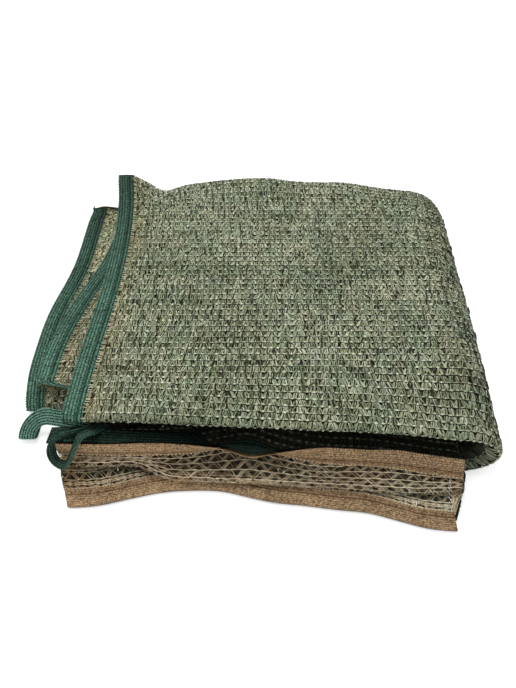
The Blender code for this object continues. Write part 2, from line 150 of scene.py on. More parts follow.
def column(table, number, at):
    return hermite(at, [row[0] for row in table], [row[number] for row in table])


def mixed(a, b, share):
    return a + (b - a) * share


def wave(x, y, size=1.0):
    """Gentle unevenness of cloth that lies loose."""
    return size * (
        0.9 * np.sin(x / 47 + 0.6) * np.cos(y / 83 + 1.1) + 0.6 * np.sin(x / 93 - y / 61 + 2.0)
    )


print("the top layer's near edge lies at y", column(NEAR, 1, 0.0).round(1), "mm, at x 0")


# %% [markdown]
# Each station is a line of the cloth from side to side, such as a seam or the crest of a fold.
# `upper_point` and `lower_point` say where it lies in the upper and the lower half of the bundle.

# %% Where each station lies
def upper_point(name, x):
    near = column(NEAR, 1, x)
    seam_y, seam_z = column(UPPER_STRIP, 1, x), column(UPPER_STRIP, 2, x)
    free_y, free_z = column(UPPER_STRIP, 3, x), column(UPPER_STRIP, 4, x)
    rim_y, rim_z = column(BACK_RIM, 1, x), column(BACK_RIM, 2, x)
    hang_y, hang_z, leg_z, loose_ply = (column(HANGING_FOLD, k, x) for k in (1, 2, 3, 4))
    flat = {
        "back edge": (rim_y + 4, rim_z - 35), "back seam": (rim_y + 5, rim_z - 11),
        "rim": (rim_y, rim_z), "rim front": (rim_y - 14, rim_z + 3),
        "back": (BACK - 50, mixed(TOP, rim_z, 0.3)), "top far": (BACK - 150, TOP),
        "top middle": (0, TOP), "top near": (-130, TOP), "before fold": (near + 24, TOP - 1.5),
        "fold top": (near + CREST, TOP - 2.5), "fold": (near, TOP - 7),
        "fold under": (near + CREST, TOP - 11.5), "after fold": (near + 30, TOP - 12.5),
        "second near": (-75, SECOND), "second middle": (0, SECOND),
        "second far": (110, SECOND), "second back": (BACK - 35, SECOND - 1),
        "back fold top": (BACK - 9, SECOND - 3), "back fold": (BACK - 3, (SECOND + THIRD) / 2),
        "back fold under": (BACK - 9, THIRD + 2.5), "third back": (BACK - 35, THIRD),
        "third far": (100, THIRD), "third middle": (0, THIRD), "third halfway": (-65, THIRD),
        "third near": (-130, THIRD - 0.5), "third end": (-150, THIRD - 0.8),
        "third tuck": (-161, THIRD - 1.2),
        "front slope": (seam_y + 68, mixed(seam_z, THIRD, 0.80)),
        "front bend": (seam_y + 34, mixed(seam_z, THIRD, 0.45)),
        "behind seam": (seam_y + 9, seam_z + 1.6), "seam": (seam_y + 1.2, seam_z + 1.6),
        "strip middle": (mixed(seam_y, free_y, 0.45), mixed(seam_z, free_z, 0.45)),
        "front edge": (free_y, free_z),
    }
    # each place: hanging open, then closed up as distance behind the seam, share and drop
    hanging = {
        "under bend": ((seam_y + 20, leg_z), (27, 0.36, 2.8)),
        "hang under": ((hang_y + 12, hang_z - 1.0), (18, 0.22, 3.2)),
        "hang": ((hang_y, hang_z), (13, 0.18, 3.0)),
        "hang over": ((hang_y + 4.5, hang_z + 5), (9, 0.15, 2.4)),
        "hang top": ((mixed(hang_y, seam_y, 0.84), mixed(hang_z, seam_z, 0.66)), (5, 0.13, 1.2)),
    }
    flat["under slope"] = (seam_y + 46, mixed(seam_z, THIRD, 0.58) - 1.8)
    for key, ((y, z), (behind, share, drop)) in hanging.items():
        closed_y, closed_z = seam_y + behind, mixed(seam_z, THIRD, share) - drop
        flat[key] = (mixed(closed_y, y, loose_ply), mixed(closed_z, z, loose_ply))
    y, z = flat[name]
    loose = {"top": 1.0, "second": 0.6, "third": 0.5, "back": 0.0}.get(name.split()[0], 0.0)
    return y + 0 * x, z + wave(x, y + 0 * x, loose)


def lower_point(name, x):
    near = column(NEAR, 2, x)
    free = column(LOWER_STRIP, 1, x)
    seam, rise = free + TAPE, column(LOWER_STRIP, 2, x)
    back = BACK + CORNER * np.interp(x, (-262, -225), (1, 0))
    crest_y = column(NEAR, 3, x)
    crest = np.interp(x, (100, 190), (FOURTH - 4.5, FOURTH - 6.5))
    flat = {
        "back edge": (BACK, FLOOR_TAPE), "back seam": (BACK - TAPE, FLOOR_TAPE),
        "rim": (BACK - TAPE - 10, FLOOR_PLY), "rim front": (BACK - TAPE - 20, FLOOR_PLY),
        "back": (BACK - 60, FLOOR_PLY), "top far": (BACK - 140, FLOOR_PLY),
        "top middle": (20, FLOOR_PLY), "top near": (-90, FLOOR_PLY),
        "before fold": (near + 24, FLOOR_PLY), "fold top": (near + CREST, FLOOR_PLY + 1.6),
        "fold": (near, FLOOR_PLY + 6.4), "fold under": (near + CREST, FIFTH - 1.6),
        "after fold": (near + 30, FIFTH), "second near": (-75, FIFTH),
        "second middle": (0, FIFTH), "second far": (110, FIFTH),
        "second back": (back - 35, FIFTH), "back fold top": (back - 9, FIFTH + 1.5),
        "back fold": (back - 3, (FOURTH + FIFTH) / 2), "back fold under": (back - 9, FOURTH - 1.5),
        "third back": (back - 35, FOURTH), "third far": (100, FOURTH),
        "third middle": (0, FOURTH), "third halfway": (-60, FOURTH), "third near": (-110, FOURTH),
        "third end": (mixed(-110, crest_y, 0.4), mixed(FOURTH, crest, 0.3)),
        "third tuck": (mixed(-110, crest_y, 0.65), mixed(FOURTH, crest, 0.6)),
        "front slope": (crest_y, crest),
        "front bend": (seam + 26, rise), "behind seam": (seam + 9, mixed(FLOOR_TAPE, rise, 0.22)),
        "seam": (seam, FLOOR_TAPE), "strip middle": (seam - TAPE * 0.5, FLOOR_TAPE),
        "front edge": (free, FLOOR_TAPE),
        "under slope": (crest_y, crest + 0.7), "under bend": (seam + 29, rise + 3.5),
        "hang under": (seam + 22, mixed(FLOOR_TAPE, rise, 0.76) + 2.4),
        "hang": (seam + 15, mixed(FLOOR_TAPE, rise, 0.46) + 1.8),
        "hang over": (seam + 10, mixed(FLOOR_TAPE, rise, 0.25) + 1.2),
        "hang top": (seam + 5, mixed(FLOOR_TAPE, rise, 0.08) + 0.6),
    }
    y, z = flat[name]
    return y + 0 * x, z + 0 * x


middle_fold = [half("fold", np.array([0.0]))[0][0] for half in (upper_point, lower_point)]
print("the front folds lie at y", np.round(middle_fold, 1), "mm")

# %% [markdown]
# The stations follow each other from the back edge to the front edge. The two plies share most of
# them. Only near the front do they part: the green ply stays close, and the tan one hangs open in
# a fold of its own below the upper strip.

# %% The order of the stations
# columns: station, share of the way from the outer to the middle turn and on to the inner one,
# layer whose side edge it follows in the upper and the lower half, steps to the next station
SHARED = (
    ("back edge", 0.0, TOP_SIDE, BOTTOM_SIDE, 1), ("back seam", 0.0, TOP_SIDE, BOTTOM_SIDE, 1),
    ("rim", 0.0, TOP_SIDE, BOTTOM_SIDE, 1), ("rim front", 0.0, TOP_SIDE, BOTTOM_SIDE, 1),
    ("back", 0.0, TOP_SIDE, BOTTOM_SIDE, 1), ("top far", 0.0, TOP_SIDE, BOTTOM_SIDE, 1),
    ("top middle", 0.0, TOP_SIDE, BOTTOM_SIDE, 2), ("top near", 0.0, TOP_SIDE, BOTTOM_SIDE, 2),
    ("before fold", 0.0, TOP_SIDE, BOTTOM_SIDE, 1), ("fold top", 0.1, TOP_SIDE, BOTTOM_SIDE, 2),
    ("fold", 0.25, TOP_SIDE, BOTTOM_SIDE, 2), ("fold under", 0.6, TOP_SIDE, FIFTH_SIDE, 1),
    ("after fold", 1.0, SECOND_SIDE, FIFTH_SIDE, 1),
    ("second near", 1.0, SECOND_SIDE, FIFTH_SIDE, 1),
    ("second middle", 1.0, SECOND_SIDE, FIFTH_SIDE, 1),
    ("second far", 1.0, SECOND_SIDE, FIFTH_SIDE, 1),
    ("second back", 1.0, SECOND_SIDE, FIFTH_SIDE, 1),
    ("back fold top", 1.1, SECOND_SIDE, FIFTH_SIDE, 1),
    ("back fold", 1.4, SECOND_SIDE, FIFTH_SIDE, 1),
    ("back fold under", 1.8, THIRD_SIDE, FOURTH_SIDE, 1),
    ("third back", 2.0, THIRD_SIDE, FOURTH_SIDE, 1),
    ("third far", 2.0, THIRD_SIDE, FOURTH_SIDE, 1),
    ("third middle", 2.0, THIRD_SIDE, FOURTH_SIDE, 1),
    ("third halfway", 2.0, THIRD_SIDE, FOURTH_SIDE, 1),
    ("third near", 2.0, THIRD_SIDE, FOURTH_SIDE, 1),
    ("third end", 2.0, THIRD_SIDE, FOURTH_SIDE, 1),
    ("third tuck", 2.0, THIRD_SIDE, FOURTH_SIDE, 1),
)


def inner_stations(names_and_steps):
    return tuple((name, 2.0, THIRD_SIDE, FOURTH_SIDE, steps) for name, steps in names_and_steps)


CLOSE_END = inner_stations((
    ("front slope", 2), ("front bend", 2), ("behind seam", 1), ("seam", 1), ("strip middle", 1),
    ("front edge", 0),
))
LOOSE_END = inner_stations((
    ("under slope", 1), ("under bend", 1), ("hang under", 1), ("hang", 1), ("hang over", 1),
    ("hang top", 1), ("seam", 1), ("strip middle", 1), ("front edge", 0),
))
print(len(SHARED), "stations are shared by both plies")

# %% [markdown]
# The fine surface is a grid of points. Along it, `u` is the distance from the upper left edge
# round the sideways fold to the lower left edge, and `v` the distance from the back edge to the
# front edge. Every yarn and tape is placed by `u`, `v` and its height over the surface.

# %% Build the fine surface
FINE = 5                 # rows for each step of the tables
TAPE_COLUMNS, UPPER_COLUMNS, TURN_COLUMNS, LOWER_COLUMNS = 4, 48, 24, 40
MIDDLE_COLUMNS = slice(14, 42)      # the columns on which v is measured


def row_of(station):
    """One station's points along the sheet: upper half, sideways fold, lower half."""
    name, inward, upper_side, lower_side, _ = station
    start = np.interp(inward, (0, 1, 2), (OUTER_TURN[0], MIDDLE_TURN[0], INNER_TURN[0]))
    bulge = np.interp(inward, (0, 1, 2), (OUTER_TURN[1], MIDDLE_TURN[1], INNER_TURN[1]))
    y_start = upper_point(name, np.array([start]))[0][0]
    bulge = bulge + column(BULGE, 1, y_start) * max(0, 1 - inward)
    start_low = start
    if inward == 2:
        y_middle = (y_start + lower_point(name, np.array([start]))[0][0]) / 2
        on_strip = name in ("strip middle", "front edge")
        front = 1 if on_strip else np.interp(-y_middle, FRONT_NEARS, (0, 1))
        start, start_low, bulge = (
            mixed(a, b, front) for a, b in zip((start, start, bulge), FRONT_TURN))
    middle = np.array([SIDE_AT])
    left_up = float(column(upper_side, 1, upper_point(name, middle)[0])[0])
    left_low = float(column(lower_side, 1, lower_point(name, middle)[0])[0])
    tape = np.arange(TAPE_COLUMNS) * TAPE / TAPE_COLUMNS
    x_up = np.concatenate([left_up + tape, np.linspace(left_up + TAPE, start, UPPER_COLUMNS + 1)])
    x_low = np.concatenate([
        np.linspace(start_low, left_low + TAPE, LOWER_COLUMNS + 1), left_low + tape[::-1],
    ])
    y_up, z_up = upper_point(name, x_up)
    y_low, z_low = lower_point(name, x_low)
    z_low[-1 - TAPE_COLUMNS:] = np.maximum(z_low[-1 - TAPE_COLUMNS:], FLOOR_TAPE)
    angle = np.linspace(0, math.pi, TURN_COLUMNS + 1)[1:-1]
    across = (1 + np.cos(angle)) / 2
    x_turn = start_low + (start - start_low) * across + bulge * np.sin(angle)
    y_turn = y_low[0] + (y_up[-1] - y_low[0]) * across
    z_turn = z_low[0] + (z_up[-1] - z_low[0]) * across
    return np.stack([
        np.concatenate([x_up, x_turn, x_low]), np.concatenate([y_up, y_turn, y_low]),
        np.concatenate([z_up, z_turn, z_low]),
    ], 1)


def through(rows, steps):
    """Rows of a smooth surface through the stations' rows, with the steps asked for between."""
    rows = np.array(rows)
    lengths = np.linalg.norm(np.diff(rows, axis=0), axis=2).mean(1)
    knots = np.concatenate([[0], np.cumsum(np.sqrt(lengths))])
    slope = np.gradient(rows, knots, axis=0)
    result = []
    for i, count in enumerate(steps[:-1]):
        step = knots[i + 1] - knots[i]
        for u in np.arange(count) / count:
            result.append(
                rows[i] * (1 + 2 * u) * (1 - u) ** 2 + rows[i + 1] * u * u * (3 - 2 * u)
                + slope[i] * step * u * (1 - u) ** 2 - slope[i + 1] * step * u * u * (1 - u)
            )
    result = np.array(result + [rows[-1]])
    result[..., 2] = np.maximum(result[..., 2], FLOOR_PLY)
    return result


def fine_surface(end):
    stations = SHARED + end
    steps = [station[4] * FINE for station in stations]
    grid = through([row_of(station) for station in stations], steps)
    normal = np.cross(np.gradient(grid, axis=0), np.gradient(grid, axis=1))
    normal /= np.linalg.norm(normal, axis=2, keepdims=True)
    row_at = dict(zip([s[0] for s in stations], np.concatenate([[0], np.cumsum(steps[:-1])])))
    half = TAPE_COLUMNS + UPPER_COLUMNS
    along_u = np.linalg.norm(np.diff(grid[:row_at["fold"]], axis=1), axis=2).mean(0)
    along_v = np.linalg.norm(np.diff(grid[:, MIDDLE_COLUMNS], axis=0), axis=2).mean(1)
    u, v = (np.concatenate([[0], np.cumsum(part)]) for part in (along_u, along_v))
    return {
        "grid": grid, "normal": normal, "u": u, "v": v,
        "v_at": {name: float(v[row]) for name, row in row_at.items()},
        "upper_end": float(u[half]), "turn_end": float(u[half + TURN_COLUMNS]),
    }


def place(surface, u, v, lift=0.0):
    """Points and normals of the surface at u and v, raised by lift along the normal."""
    u, v, lift = np.broadcast_arrays(u, v, lift)
    i = np.interp(v, surface["v"], np.arange(len(surface["v"])))
    j = np.interp(u, surface["u"], np.arange(len(surface["u"])))
    i0 = np.minimum(i.astype(int), len(surface["v"]) - 2)
    j0 = np.minimum(j.astype(int), len(surface["u"]) - 2)
    a, b = (i - i0)[..., None], (j - j0)[..., None]
    both = []
    for field in (surface["grid"], surface["normal"]):
        both.append(
            field[i0, j0] * (1 - a) * (1 - b) + field[i0 + 1, j0] * a * (1 - b)
            + field[i0, j0 + 1] * (1 - a) * b + field[i0 + 1, j0 + 1] * a * b
        )
    return both[0] + both[1] * lift[..., None], both[1]


close, loose = fine_surface(CLOSE_END), fine_surface(LOOSE_END)
for title, surface in (("close", close), ("loose", loose)):
    print(title, "ply:", round(surface["u"][-1]), "by", round(surface["v"][-1]), "mm")

# %% [markdown]
# ## Ribbons
# A yarn here is a flat ribbon a millimetre or so wide. Curves with a round section would be the
# usual way, but many thousands of them are slow and heavy. One function makes any number of
# ribbons at once: it walks each over the surface and gives it a width, a small roll about its own
# length and a rounded back.

# %% Ribbons over the surface
LOWEST = 0.05            # nothing lies lower than this over the floor


def unit(vectors):
    return vectors / np.maximum(np.linalg.norm(vectors, axis=-1, keepdims=True), 1e-9)


def ribbons(surface, u, v, lift, width, roll, across=2, arch=0.3):
    """u and v: one row of places for each ribbon. Returns its points and faces."""
    middle, normal = place(surface, u, v, lift)
    ahead = unit(np.gradient(middle, axis=1))
    side = unit(np.cross(normal, ahead))
    over = np.cross(ahead, side)
    roll = np.broadcast_to(roll, u.shape)[..., None]
    side, over = side * np.cos(roll) + over * np.sin(roll), over * np.cos(roll) - side * np.sin(roll)
    half = np.broadcast_to(width, u.shape)[..., None] / 2
    offsets = np.linspace(-1, 1, across)
    points = np.stack([
        middle + side * half * a + over * arch * half * (1 - a * a) for a in offsets
    ], 2)
    return points, band_faces(*points.shape[:3])


def band_faces(count, length, across):
    """Faces of `count` grids, each `length` by `across` points."""
    n, i, j = np.meshgrid(
        np.arange(count), np.arange(length - 1), np.arange(across - 1), indexing="ij")
    a = (n * length + i) * across + j
    return np.stack([a, a + 1, a + across + 1, a + across], -1).reshape(-1, 4)


print("a ribbon of 3 steps has", len(band_faces(1, 4, 2)), "faces")

# %% [markdown]
# Thousands of ribbons become one piece. A heap gathers their points and faces, and a few values
# for each point, such as the `tone` that a material turns into the yarn's colour. They are written
# to the mesh in whole arrays, which is far quicker than one face at a time.

# %% A heap of ribbons becomes one piece
class Heap:
    """Points, faces and named values of many small shapes, gathered into one mesh."""

    def __init__(self):
        self.points, self.faces, self.values, self.count = [], [], {}, 0

    def add(self, points, faces, **values):
        points = points.reshape(-1, 3)
        self.points.append(points)
        self.faces.append(faces + self.count)
        for name, value in values.items():
            self.values.setdefault(name, []).append(np.ravel(value).astype(np.float32))
        self.count += len(points)

    def to_object(self, name, material):
        points = np.concatenate(self.points)
        points[:, 2] = np.maximum(points[:, 2], LOWEST)
        points = (points - (ORIGIN[0], ORIGIN[1], 0)) * MM
        faces = np.concatenate(self.faces)
        mesh = bpy.data.meshes.new(name)
        mesh.vertices.add(len(points))
        mesh.vertices.foreach_set("co", points.ravel().astype(np.float32))
        mesh.loops.add(faces.size)
        mesh.loops.foreach_set("vertex_index", faces.ravel().astype(np.int32))
        mesh.polygons.add(len(faces))
        mesh.polygons.foreach_set("loop_start", np.arange(0, faces.size, 4, dtype=np.int32))
        mesh.polygons.foreach_set("use_smooth", np.ones(len(faces), bool))
        for key, parts in self.values.items():
            attribute = mesh.attributes.new(key, "FLOAT", "POINT")
            attribute.data.foreach_set("value", np.concatenate(parts))
        mesh.update(calc_edges=True)
        mesh.validate()
        mesh.materials.append(material)
        piece = bpy.data.objects.new(name, mesh)
        bpy.context.scene.collection.objects.link(piece)
        print(name, "has", 2 * len(faces), "triangles")
        return piece


print("the lowest point allowed is", LOWEST, "mm over the floor")

# %% [markdown]
# ## Colours
# Three effects are shared by the materials, so each is a node group. `yarn colour` turns a yarn's
# tone into one of five dyed colours. `knit texture` is the fine ribbing and stitches of the tape.
# `worn patches` is a slow, cloudy change in brightness, used large for fading and small for specks.
# First come a few helpers, because a node tree in bare code is long and hard to read.

# %% Helpers for nodes
def new_group(name, inputs, outputs):
    """An empty node group; inputs and outputs are rows of name, socket type and default."""
    group = bpy.data.node_groups.new(name, "ShaderNodeTree")
    for label, kind, default in inputs:
        socket = group.interface.new_socket(label, in_out="INPUT", socket_type=kind)
        socket.default_value = default
    for label, kind in outputs:
        group.interface.new_socket(label, in_out="OUTPUT", socket_type=kind)
    return group, group.nodes.new("NodeGroupInput"), group.nodes.new("NodeGroupOutput")


def math_node(tree, operation, first, second=None, third=None, clamp=False):
    node = tree.nodes.new("ShaderNodeMath")
    node.operation = operation
    node.use_clamp = clamp
    for socket, value in zip(node.inputs, (first, second, third)):
        if value is None:
            continue
        if isinstance(value, (int, float)):
            socket.default_value = value
        else:
            tree.links.new(value, socket)
    return node.outputs[0]


def mix_colours(tree, factor, first, second, blend="MIX"):
    node = tree.nodes.new("ShaderNodeMix")
    node.data_type = "RGBA"
    node.blend_type = blend
    for socket, value in zip((node.inputs[0], node.inputs[6], node.inputs[7]), (factor, first, second)):
        if isinstance(value, (int, float)):
            socket.default_value = value
        elif isinstance(value, tuple):
            socket.default_value = (*value, 1)
        else:
            tree.links.new(value, socket)
    return node.outputs[2]


def attribute(tree, name):
    node = tree.nodes.new("ShaderNodeAttribute")
    node.attribute_name = name
    return node.outputs["Fac"]


def noise(tree, scale, detail=2.0, vector=None):
    node = tree.nodes.new("ShaderNodeTexNoise")
    node.inputs["Scale"].default_value = scale
    node.inputs["Detail"].default_value = detail
    tree.links.new(vector or object_place(tree), node.inputs["Vector"])
    return node.outputs["Fac"]


def object_place(tree):
    return tree.nodes.new("ShaderNodeTexCoord").outputs["Object"]


print("helpers for node trees are ready")

# %% [markdown]
# Each group takes numbers and colours in and puts only colours or masks out. The shader itself
# stays in the material, so that the finish can still be exported.

# %% Node groups
CLOUD_FROM, CLOUD_TO = 0.32, 0.68      # the noise seldom leaves this range
STITCH_NOISE, STITCH_SHIFT = 420.0, 2.2    # how fine the stitches' unevenness is, and how strong
# columns: a yarn's next colour, tone where it starts and where it is full
TONE_STEPS = (
    ("Deep", 0.10, 0.22), ("Middle", 0.28, 0.45), ("Light", 0.58, 0.85), ("Odd", 0.90, 0.93),
)


def patches_group():
    """Slow, cloudy change in brightness, from `Low` to `High`."""
    group, given, result = new_group(
        "worn patches",
        [("Scale", "NodeSocketFloat", 12.0), ("Low", "NodeSocketFloat", 0.8),
         ("High", "NodeSocketFloat", 1.1)],
        [("Brightness", "NodeSocketFloat")],
    )
    cloud = group.nodes.new("ShaderNodeTexNoise")
    cloud.inputs["Detail"].default_value = 3
    group.links.new(object_place(group), cloud.inputs["Vector"])
    group.links.new(given.outputs["Scale"], cloud.inputs["Scale"])
    spread = group.nodes.new("ShaderNodeMapRange")
    spread.inputs["From Min"].default_value = CLOUD_FROM
    spread.inputs["From Max"].default_value = CLOUD_TO
    group.links.new(cloud.outputs["Fac"], spread.inputs["Value"])
    group.links.new(given.outputs["Low"], spread.inputs["To Min"])
    group.links.new(given.outputs["High"], spread.inputs["To Max"])
    group.links.new(spread.outputs["Result"], result.inputs["Brightness"])
    return group


def knit_texture_group():
    """Stitches of ribbed tape from the distance along and across it, in millimetres."""
    group, given, result = new_group(
        "knit texture",
        [("Along", "NodeSocketFloat", 0.0), ("Across", "NodeSocketFloat", 0.0),
         ("Rib", "NodeSocketFloat", 2.2), ("Stitch", "NodeSocketFloat", 2.4)],
        [("Height", "NodeSocketFloat"), ("Light", "NodeSocketFloat")],
    )
    rib = math_node(group, "DIVIDE", given.outputs["Across"], given.outputs["Rib"])
    turn = math_node(group, "MULTIPLY", rib, 2 * math.pi)
    bend = math_node(group, "ABSOLUTE", math_node(group, "SINE", turn))
    wander = math_node(group, "MULTIPLY", noise(group, STITCH_NOISE, 1.0), STITCH_SHIFT)
    row = math_node(group, "DIVIDE", given.outputs["Along"], given.outputs["Stitch"])
    row = math_node(group, "ADD", row, wander)
    row = math_node(group, "ADD", row, math_node(group, "MULTIPLY", bend, 0.45))
    loop = math_node(group, "SINE", math_node(group, "MULTIPLY", row, 2 * math.pi))
    half_turn = math_node(group, "MULTIPLY", turn, 0.5)
    groove = math_node(group, "ABSOLUTE", math_node(group, "COSINE", half_turn))
    height = math_node(group, "MULTIPLY_ADD", loop, 0.3, groove)
    group.links.new(height, result.inputs["Height"])
    ribbed = math_node(group, "MULTIPLY_ADD", groove, 0.7, 0.05)
    light = math_node(group, "MULTIPLY_ADD", loop, 0.25, ribbed)
    group.links.new(light, result.inputs["Light"])
    return group


def yarn_colour_group():
    """A yarn's colour from its tone: one of five dyed colours, or a mix of two neighbours."""
    colours = ("Dark", "Deep", "Middle", "Light", "Odd")
    group, given, result = new_group(
        "yarn colour",
        [("Tone", "NodeSocketFloat", 0.5), ("Shift", "NodeSocketFloat", 0.0)]
        + [(name, "NodeSocketColor", (0.2, 0.2, 0.2, 1)) for name in colours],
        [("Colour", "NodeSocketColor")],
    )
    tone = math_node(group, "ADD", given.outputs["Tone"], given.outputs["Shift"], clamp=True)
    mixed_so_far = given.outputs["Dark"]
    for name, low, high in TONE_STEPS:
        step = group.nodes.new("ShaderNodeMapRange")
        step.inputs["From Min"].default_value = low
        step.inputs["From Max"].default_value = high
        group.links.new(tone, step.inputs["Value"])
        mixed_so_far = mix_colours(group, step.outputs["Result"], mixed_so_far, given.outputs[name])
    group.links.new(mixed_so_far, result.inputs["Colour"])
    return group


WORN_PATCHES, KNIT_TEXTURE, YARN_COLOUR = patches_group(), knit_texture_group(), yarn_colour_group()
print("node groups:", [group.name for group in bpy.data.node_groups])

# %% [markdown]
# Both the yarn and the tape are matt plastic thread with hardly any gloss, so most of the look is
# colour. The knit material gives each ribbon its own colour by its tone, and a painted shade value
# darkens what lies inside the folds. The tape also gets a bump from its stitches, and painted shade as
# well.

# %% Materials for yarn and tape
# how fine the changes of tone, brightness and hue are on a yarn, then its specks, per metre
TONE_CLOUDS, YARN_FADING, HUE_CLOUDS, YARN_SPECKS = 9.0, 14.0, 26.0, 700.0
TAPE_FADING, TAPE_SPECKS = 18.0, 520.0
CLOTH_GLOSS = 0.08       # specular level of yarn and tape
TAPE_ROUGHNESS = 0.7
BUMP_STRENGTH, BUMP_DEPTH = 0.8, 0.0006


def new_material(name, roughness, specular):
    material = bpy.data.materials.new(name)
    material.use_nodes = True
    tree = material.node_tree
    shader = tree.nodes["Principled BSDF"]
    shader.inputs["Roughness"].default_value = roughness
    shader.inputs["Specular IOR Level"].default_value = specular
    return material, tree, shader


def group_node(tree, group, **values):
    node = tree.nodes.new("ShaderNodeGroup")
    node.node_tree = group
    for name, value in values.items():
        socket = node.inputs[name]
        if isinstance(value, (int, float)):
            socket.default_value = value
        elif isinstance(value, tuple):
            socket.default_value = (*value, 1)
        else:
            tree.links.new(value, socket)
    return node.outputs


def scaled_colour(tree, colour, *factors):
    """The colour times each of the factors."""
    for factor in factors:
        grey = tree.nodes.new("ShaderNodeCombineColor")
        for socket in grey.inputs:
            tree.links.new(factor, socket)
        colour = mix_colours(tree, 1.0, colour, grey.outputs[0], "MULTIPLY")
    return colour


def knit_material(name, colours, tints, warmer, shift, roughness):
    """Yarn of a ply. colours: dark, deep, middle, light and odd yarn; tints: the two hues it
    drifts between; warmer: what the colour is multiplied by near a tape; shift: how far the tone
    drifts from place to place."""
    material, tree, shader = new_material(name, roughness, CLOTH_GLOSS)
    cloud = noise(tree, TONE_CLOUDS, 3.0)
    drift = math_node(tree, "MULTIPLY", math_node(tree, "SUBTRACT", cloud, 0.5), shift)
    yarn = group_node(
        tree, YARN_COLOUR, Tone=attribute(tree, "tone"), Shift=drift, Dark=colours[0],
        Deep=colours[1], Middle=colours[2], Light=colours[3], Odd=colours[4])["Colour"]
    bright = group_node(tree, WORN_PATCHES, Scale=YARN_FADING, Low=0.86, High=1.12)["Brightness"]
    fleck = group_node(tree, WORN_PATCHES, Scale=YARN_SPECKS, Low=0.82, High=1.15)["Brightness"]
    # painted shade: the colour is multiplied by a value per point that darkens what lies inside the
    # folds
    shade = attribute(tree, "shade")
    hue = group_node(tree, WORN_PATCHES, Scale=HUE_CLOUDS, Low=0.0, High=1.0)["Brightness"]
    tint = mix_colours(tree, hue, tints[0], tints[1])
    yarn = mix_colours(tree, 1.0, yarn, tint, "MULTIPLY")
    yarn = mix_colours(tree, attribute(tree, "warm"), yarn, warmer, "MULTIPLY")
    tree.links.new(scaled_colour(tree, yarn, bright, fleck, shade), shader.inputs["Base Color"])
    return material


def tape_material(name, colour, groove, rib, stitch, contrast, specks):
    """Ribbed tape: the stitches' light and dark, specks of yarn, a darker sewn groove and painted
    shade.
    """
    material, tree, shader = new_material(name, TAPE_ROUGHNESS, CLOTH_GLOSS)
    along, across = attribute(tree, "along"), attribute(tree, "across")
    knit = group_node(tree, KNIT_TEXTURE, Along=along, Across=across, Rib=rib, Stitch=stitch)
    around_middle = math_node(tree, "SUBTRACT", knit["Light"], 0.5)
    brightest = 0.5 + 0.5 * (1 - contrast)
    light = math_node(tree, "MULTIPLY_ADD", around_middle, contrast * 2, brightest)
    bright = group_node(tree, WORN_PATCHES, Scale=TAPE_FADING, Low=0.85, High=1.12)["Brightness"]
    fleck = group_node(
        tree, WORN_PATCHES, Scale=TAPE_SPECKS, Low=1 - specks, High=1 + specks)["Brightness"]
    base = mix_colours(tree, attribute(tree, "groove"), colour, groove)
    # painted shade: the colour is multiplied by a value per point that darkens tape lying in shade
    shade = attribute(tree, "shade")
    base = scaled_colour(tree, base, bright, fleck, light, shade)
    tree.links.new(base, shader.inputs["Base Color"])
    bump = tree.nodes.new("ShaderNodeBump")
    bump.inputs["Strength"].default_value = BUMP_STRENGTH
    bump.inputs["Distance"].default_value = BUMP_DEPTH
    tree.links.new(knit["Height"], bump.inputs["Height"])
    tree.links.new(bump.outputs["Normal"], shader.inputs["Normal"])
    return material


print("yarn and tape have a specular level of", CLOTH_GLOSS)

# %% [markdown]
# The green ply is dyed in many greys and olives, and turns browner beside its tapes. The tan ply
# is paler and more even. The two tapes have close ribs, and the loops' tape has bolder ones.

# %% Dye the yarns and tapes
GREEN_YARN = knit_material("green_yarn", (
    (0.054, 0.076, 0.038), (0.149, 0.179, 0.106), (0.305, 0.328, 0.231), (0.560, 0.577, 0.478),
    (0.585, 0.561, 0.482),
), tints=((0.92, 1.03, 0.96), (1.03, 1.0, 0.90)), warmer=(1.0, 0.84, 0.68), shift=0.35, roughness=0.55)
TAN_YARN = knit_material("tan_yarn", (
    (0.150, 0.105, 0.050), (0.280, 0.215, 0.120), (0.455, 0.395, 0.265), (0.690, 0.630, 0.470),
    (0.330, 0.215, 0.125),
), tints=((1.0, 1.02, 1.0), (1.05, 0.92, 0.85)), warmer=(1.0, 0.9, 0.8), shift=0.20, roughness=0.6)
GREEN_TAPE = tape_material(
    "green_tape", (0.092, 0.190, 0.136), (0.014, 0.058, 0.036), rib=4.0, stitch=2.6, contrast=0.65,
    specks=0.85)
TAN_TAPE = tape_material(
    "tan_tape", (0.366, 0.248, 0.137), (0.180, 0.105, 0.055), rib=3.0, stitch=2.4, contrast=0.35,
    specks=0.75)
LOOP_TAPE = tape_material(
    "loop_tape", (0.145, 0.295, 0.222), (0.010, 0.035, 0.022), rib=3.3, stitch=2.4,
    contrast=0.95, specks=0.4)
print("materials:", [material.name for material in bpy.data.materials])

# %% [markdown]
# ## The knit
# On the real net a chain of stitches runs from side to side every 10 mm. Between two chains,
# bunches of yarns lean left and right in turn, so that each pair of bunches closes a small
# triangle. The green ply has five wide yarns to a bunch and leaves only specks of dark; the tan
# ply has two or three thin ones and leaves its triangles open. A pattern on a flat sheet would be
# quicker, but it has no real holes and a smooth edge, so each yarn is a ribbon of its own.

# %% Values that change over the cloth
PITCH = 8.6                      # between two knots of a chain
# painted shade: the share by which a yarn is darkened at the end of the sideways fold
PAINTED_TURN_SHADE = 0.5                 # how much darker a yarn is at the end of the sideways fold
WARM_WIDTH = 14.0                # over this distance a tape's brownness fades
TONES = (0.02, 0.98)             # the darkest and the lightest tone of a yarn


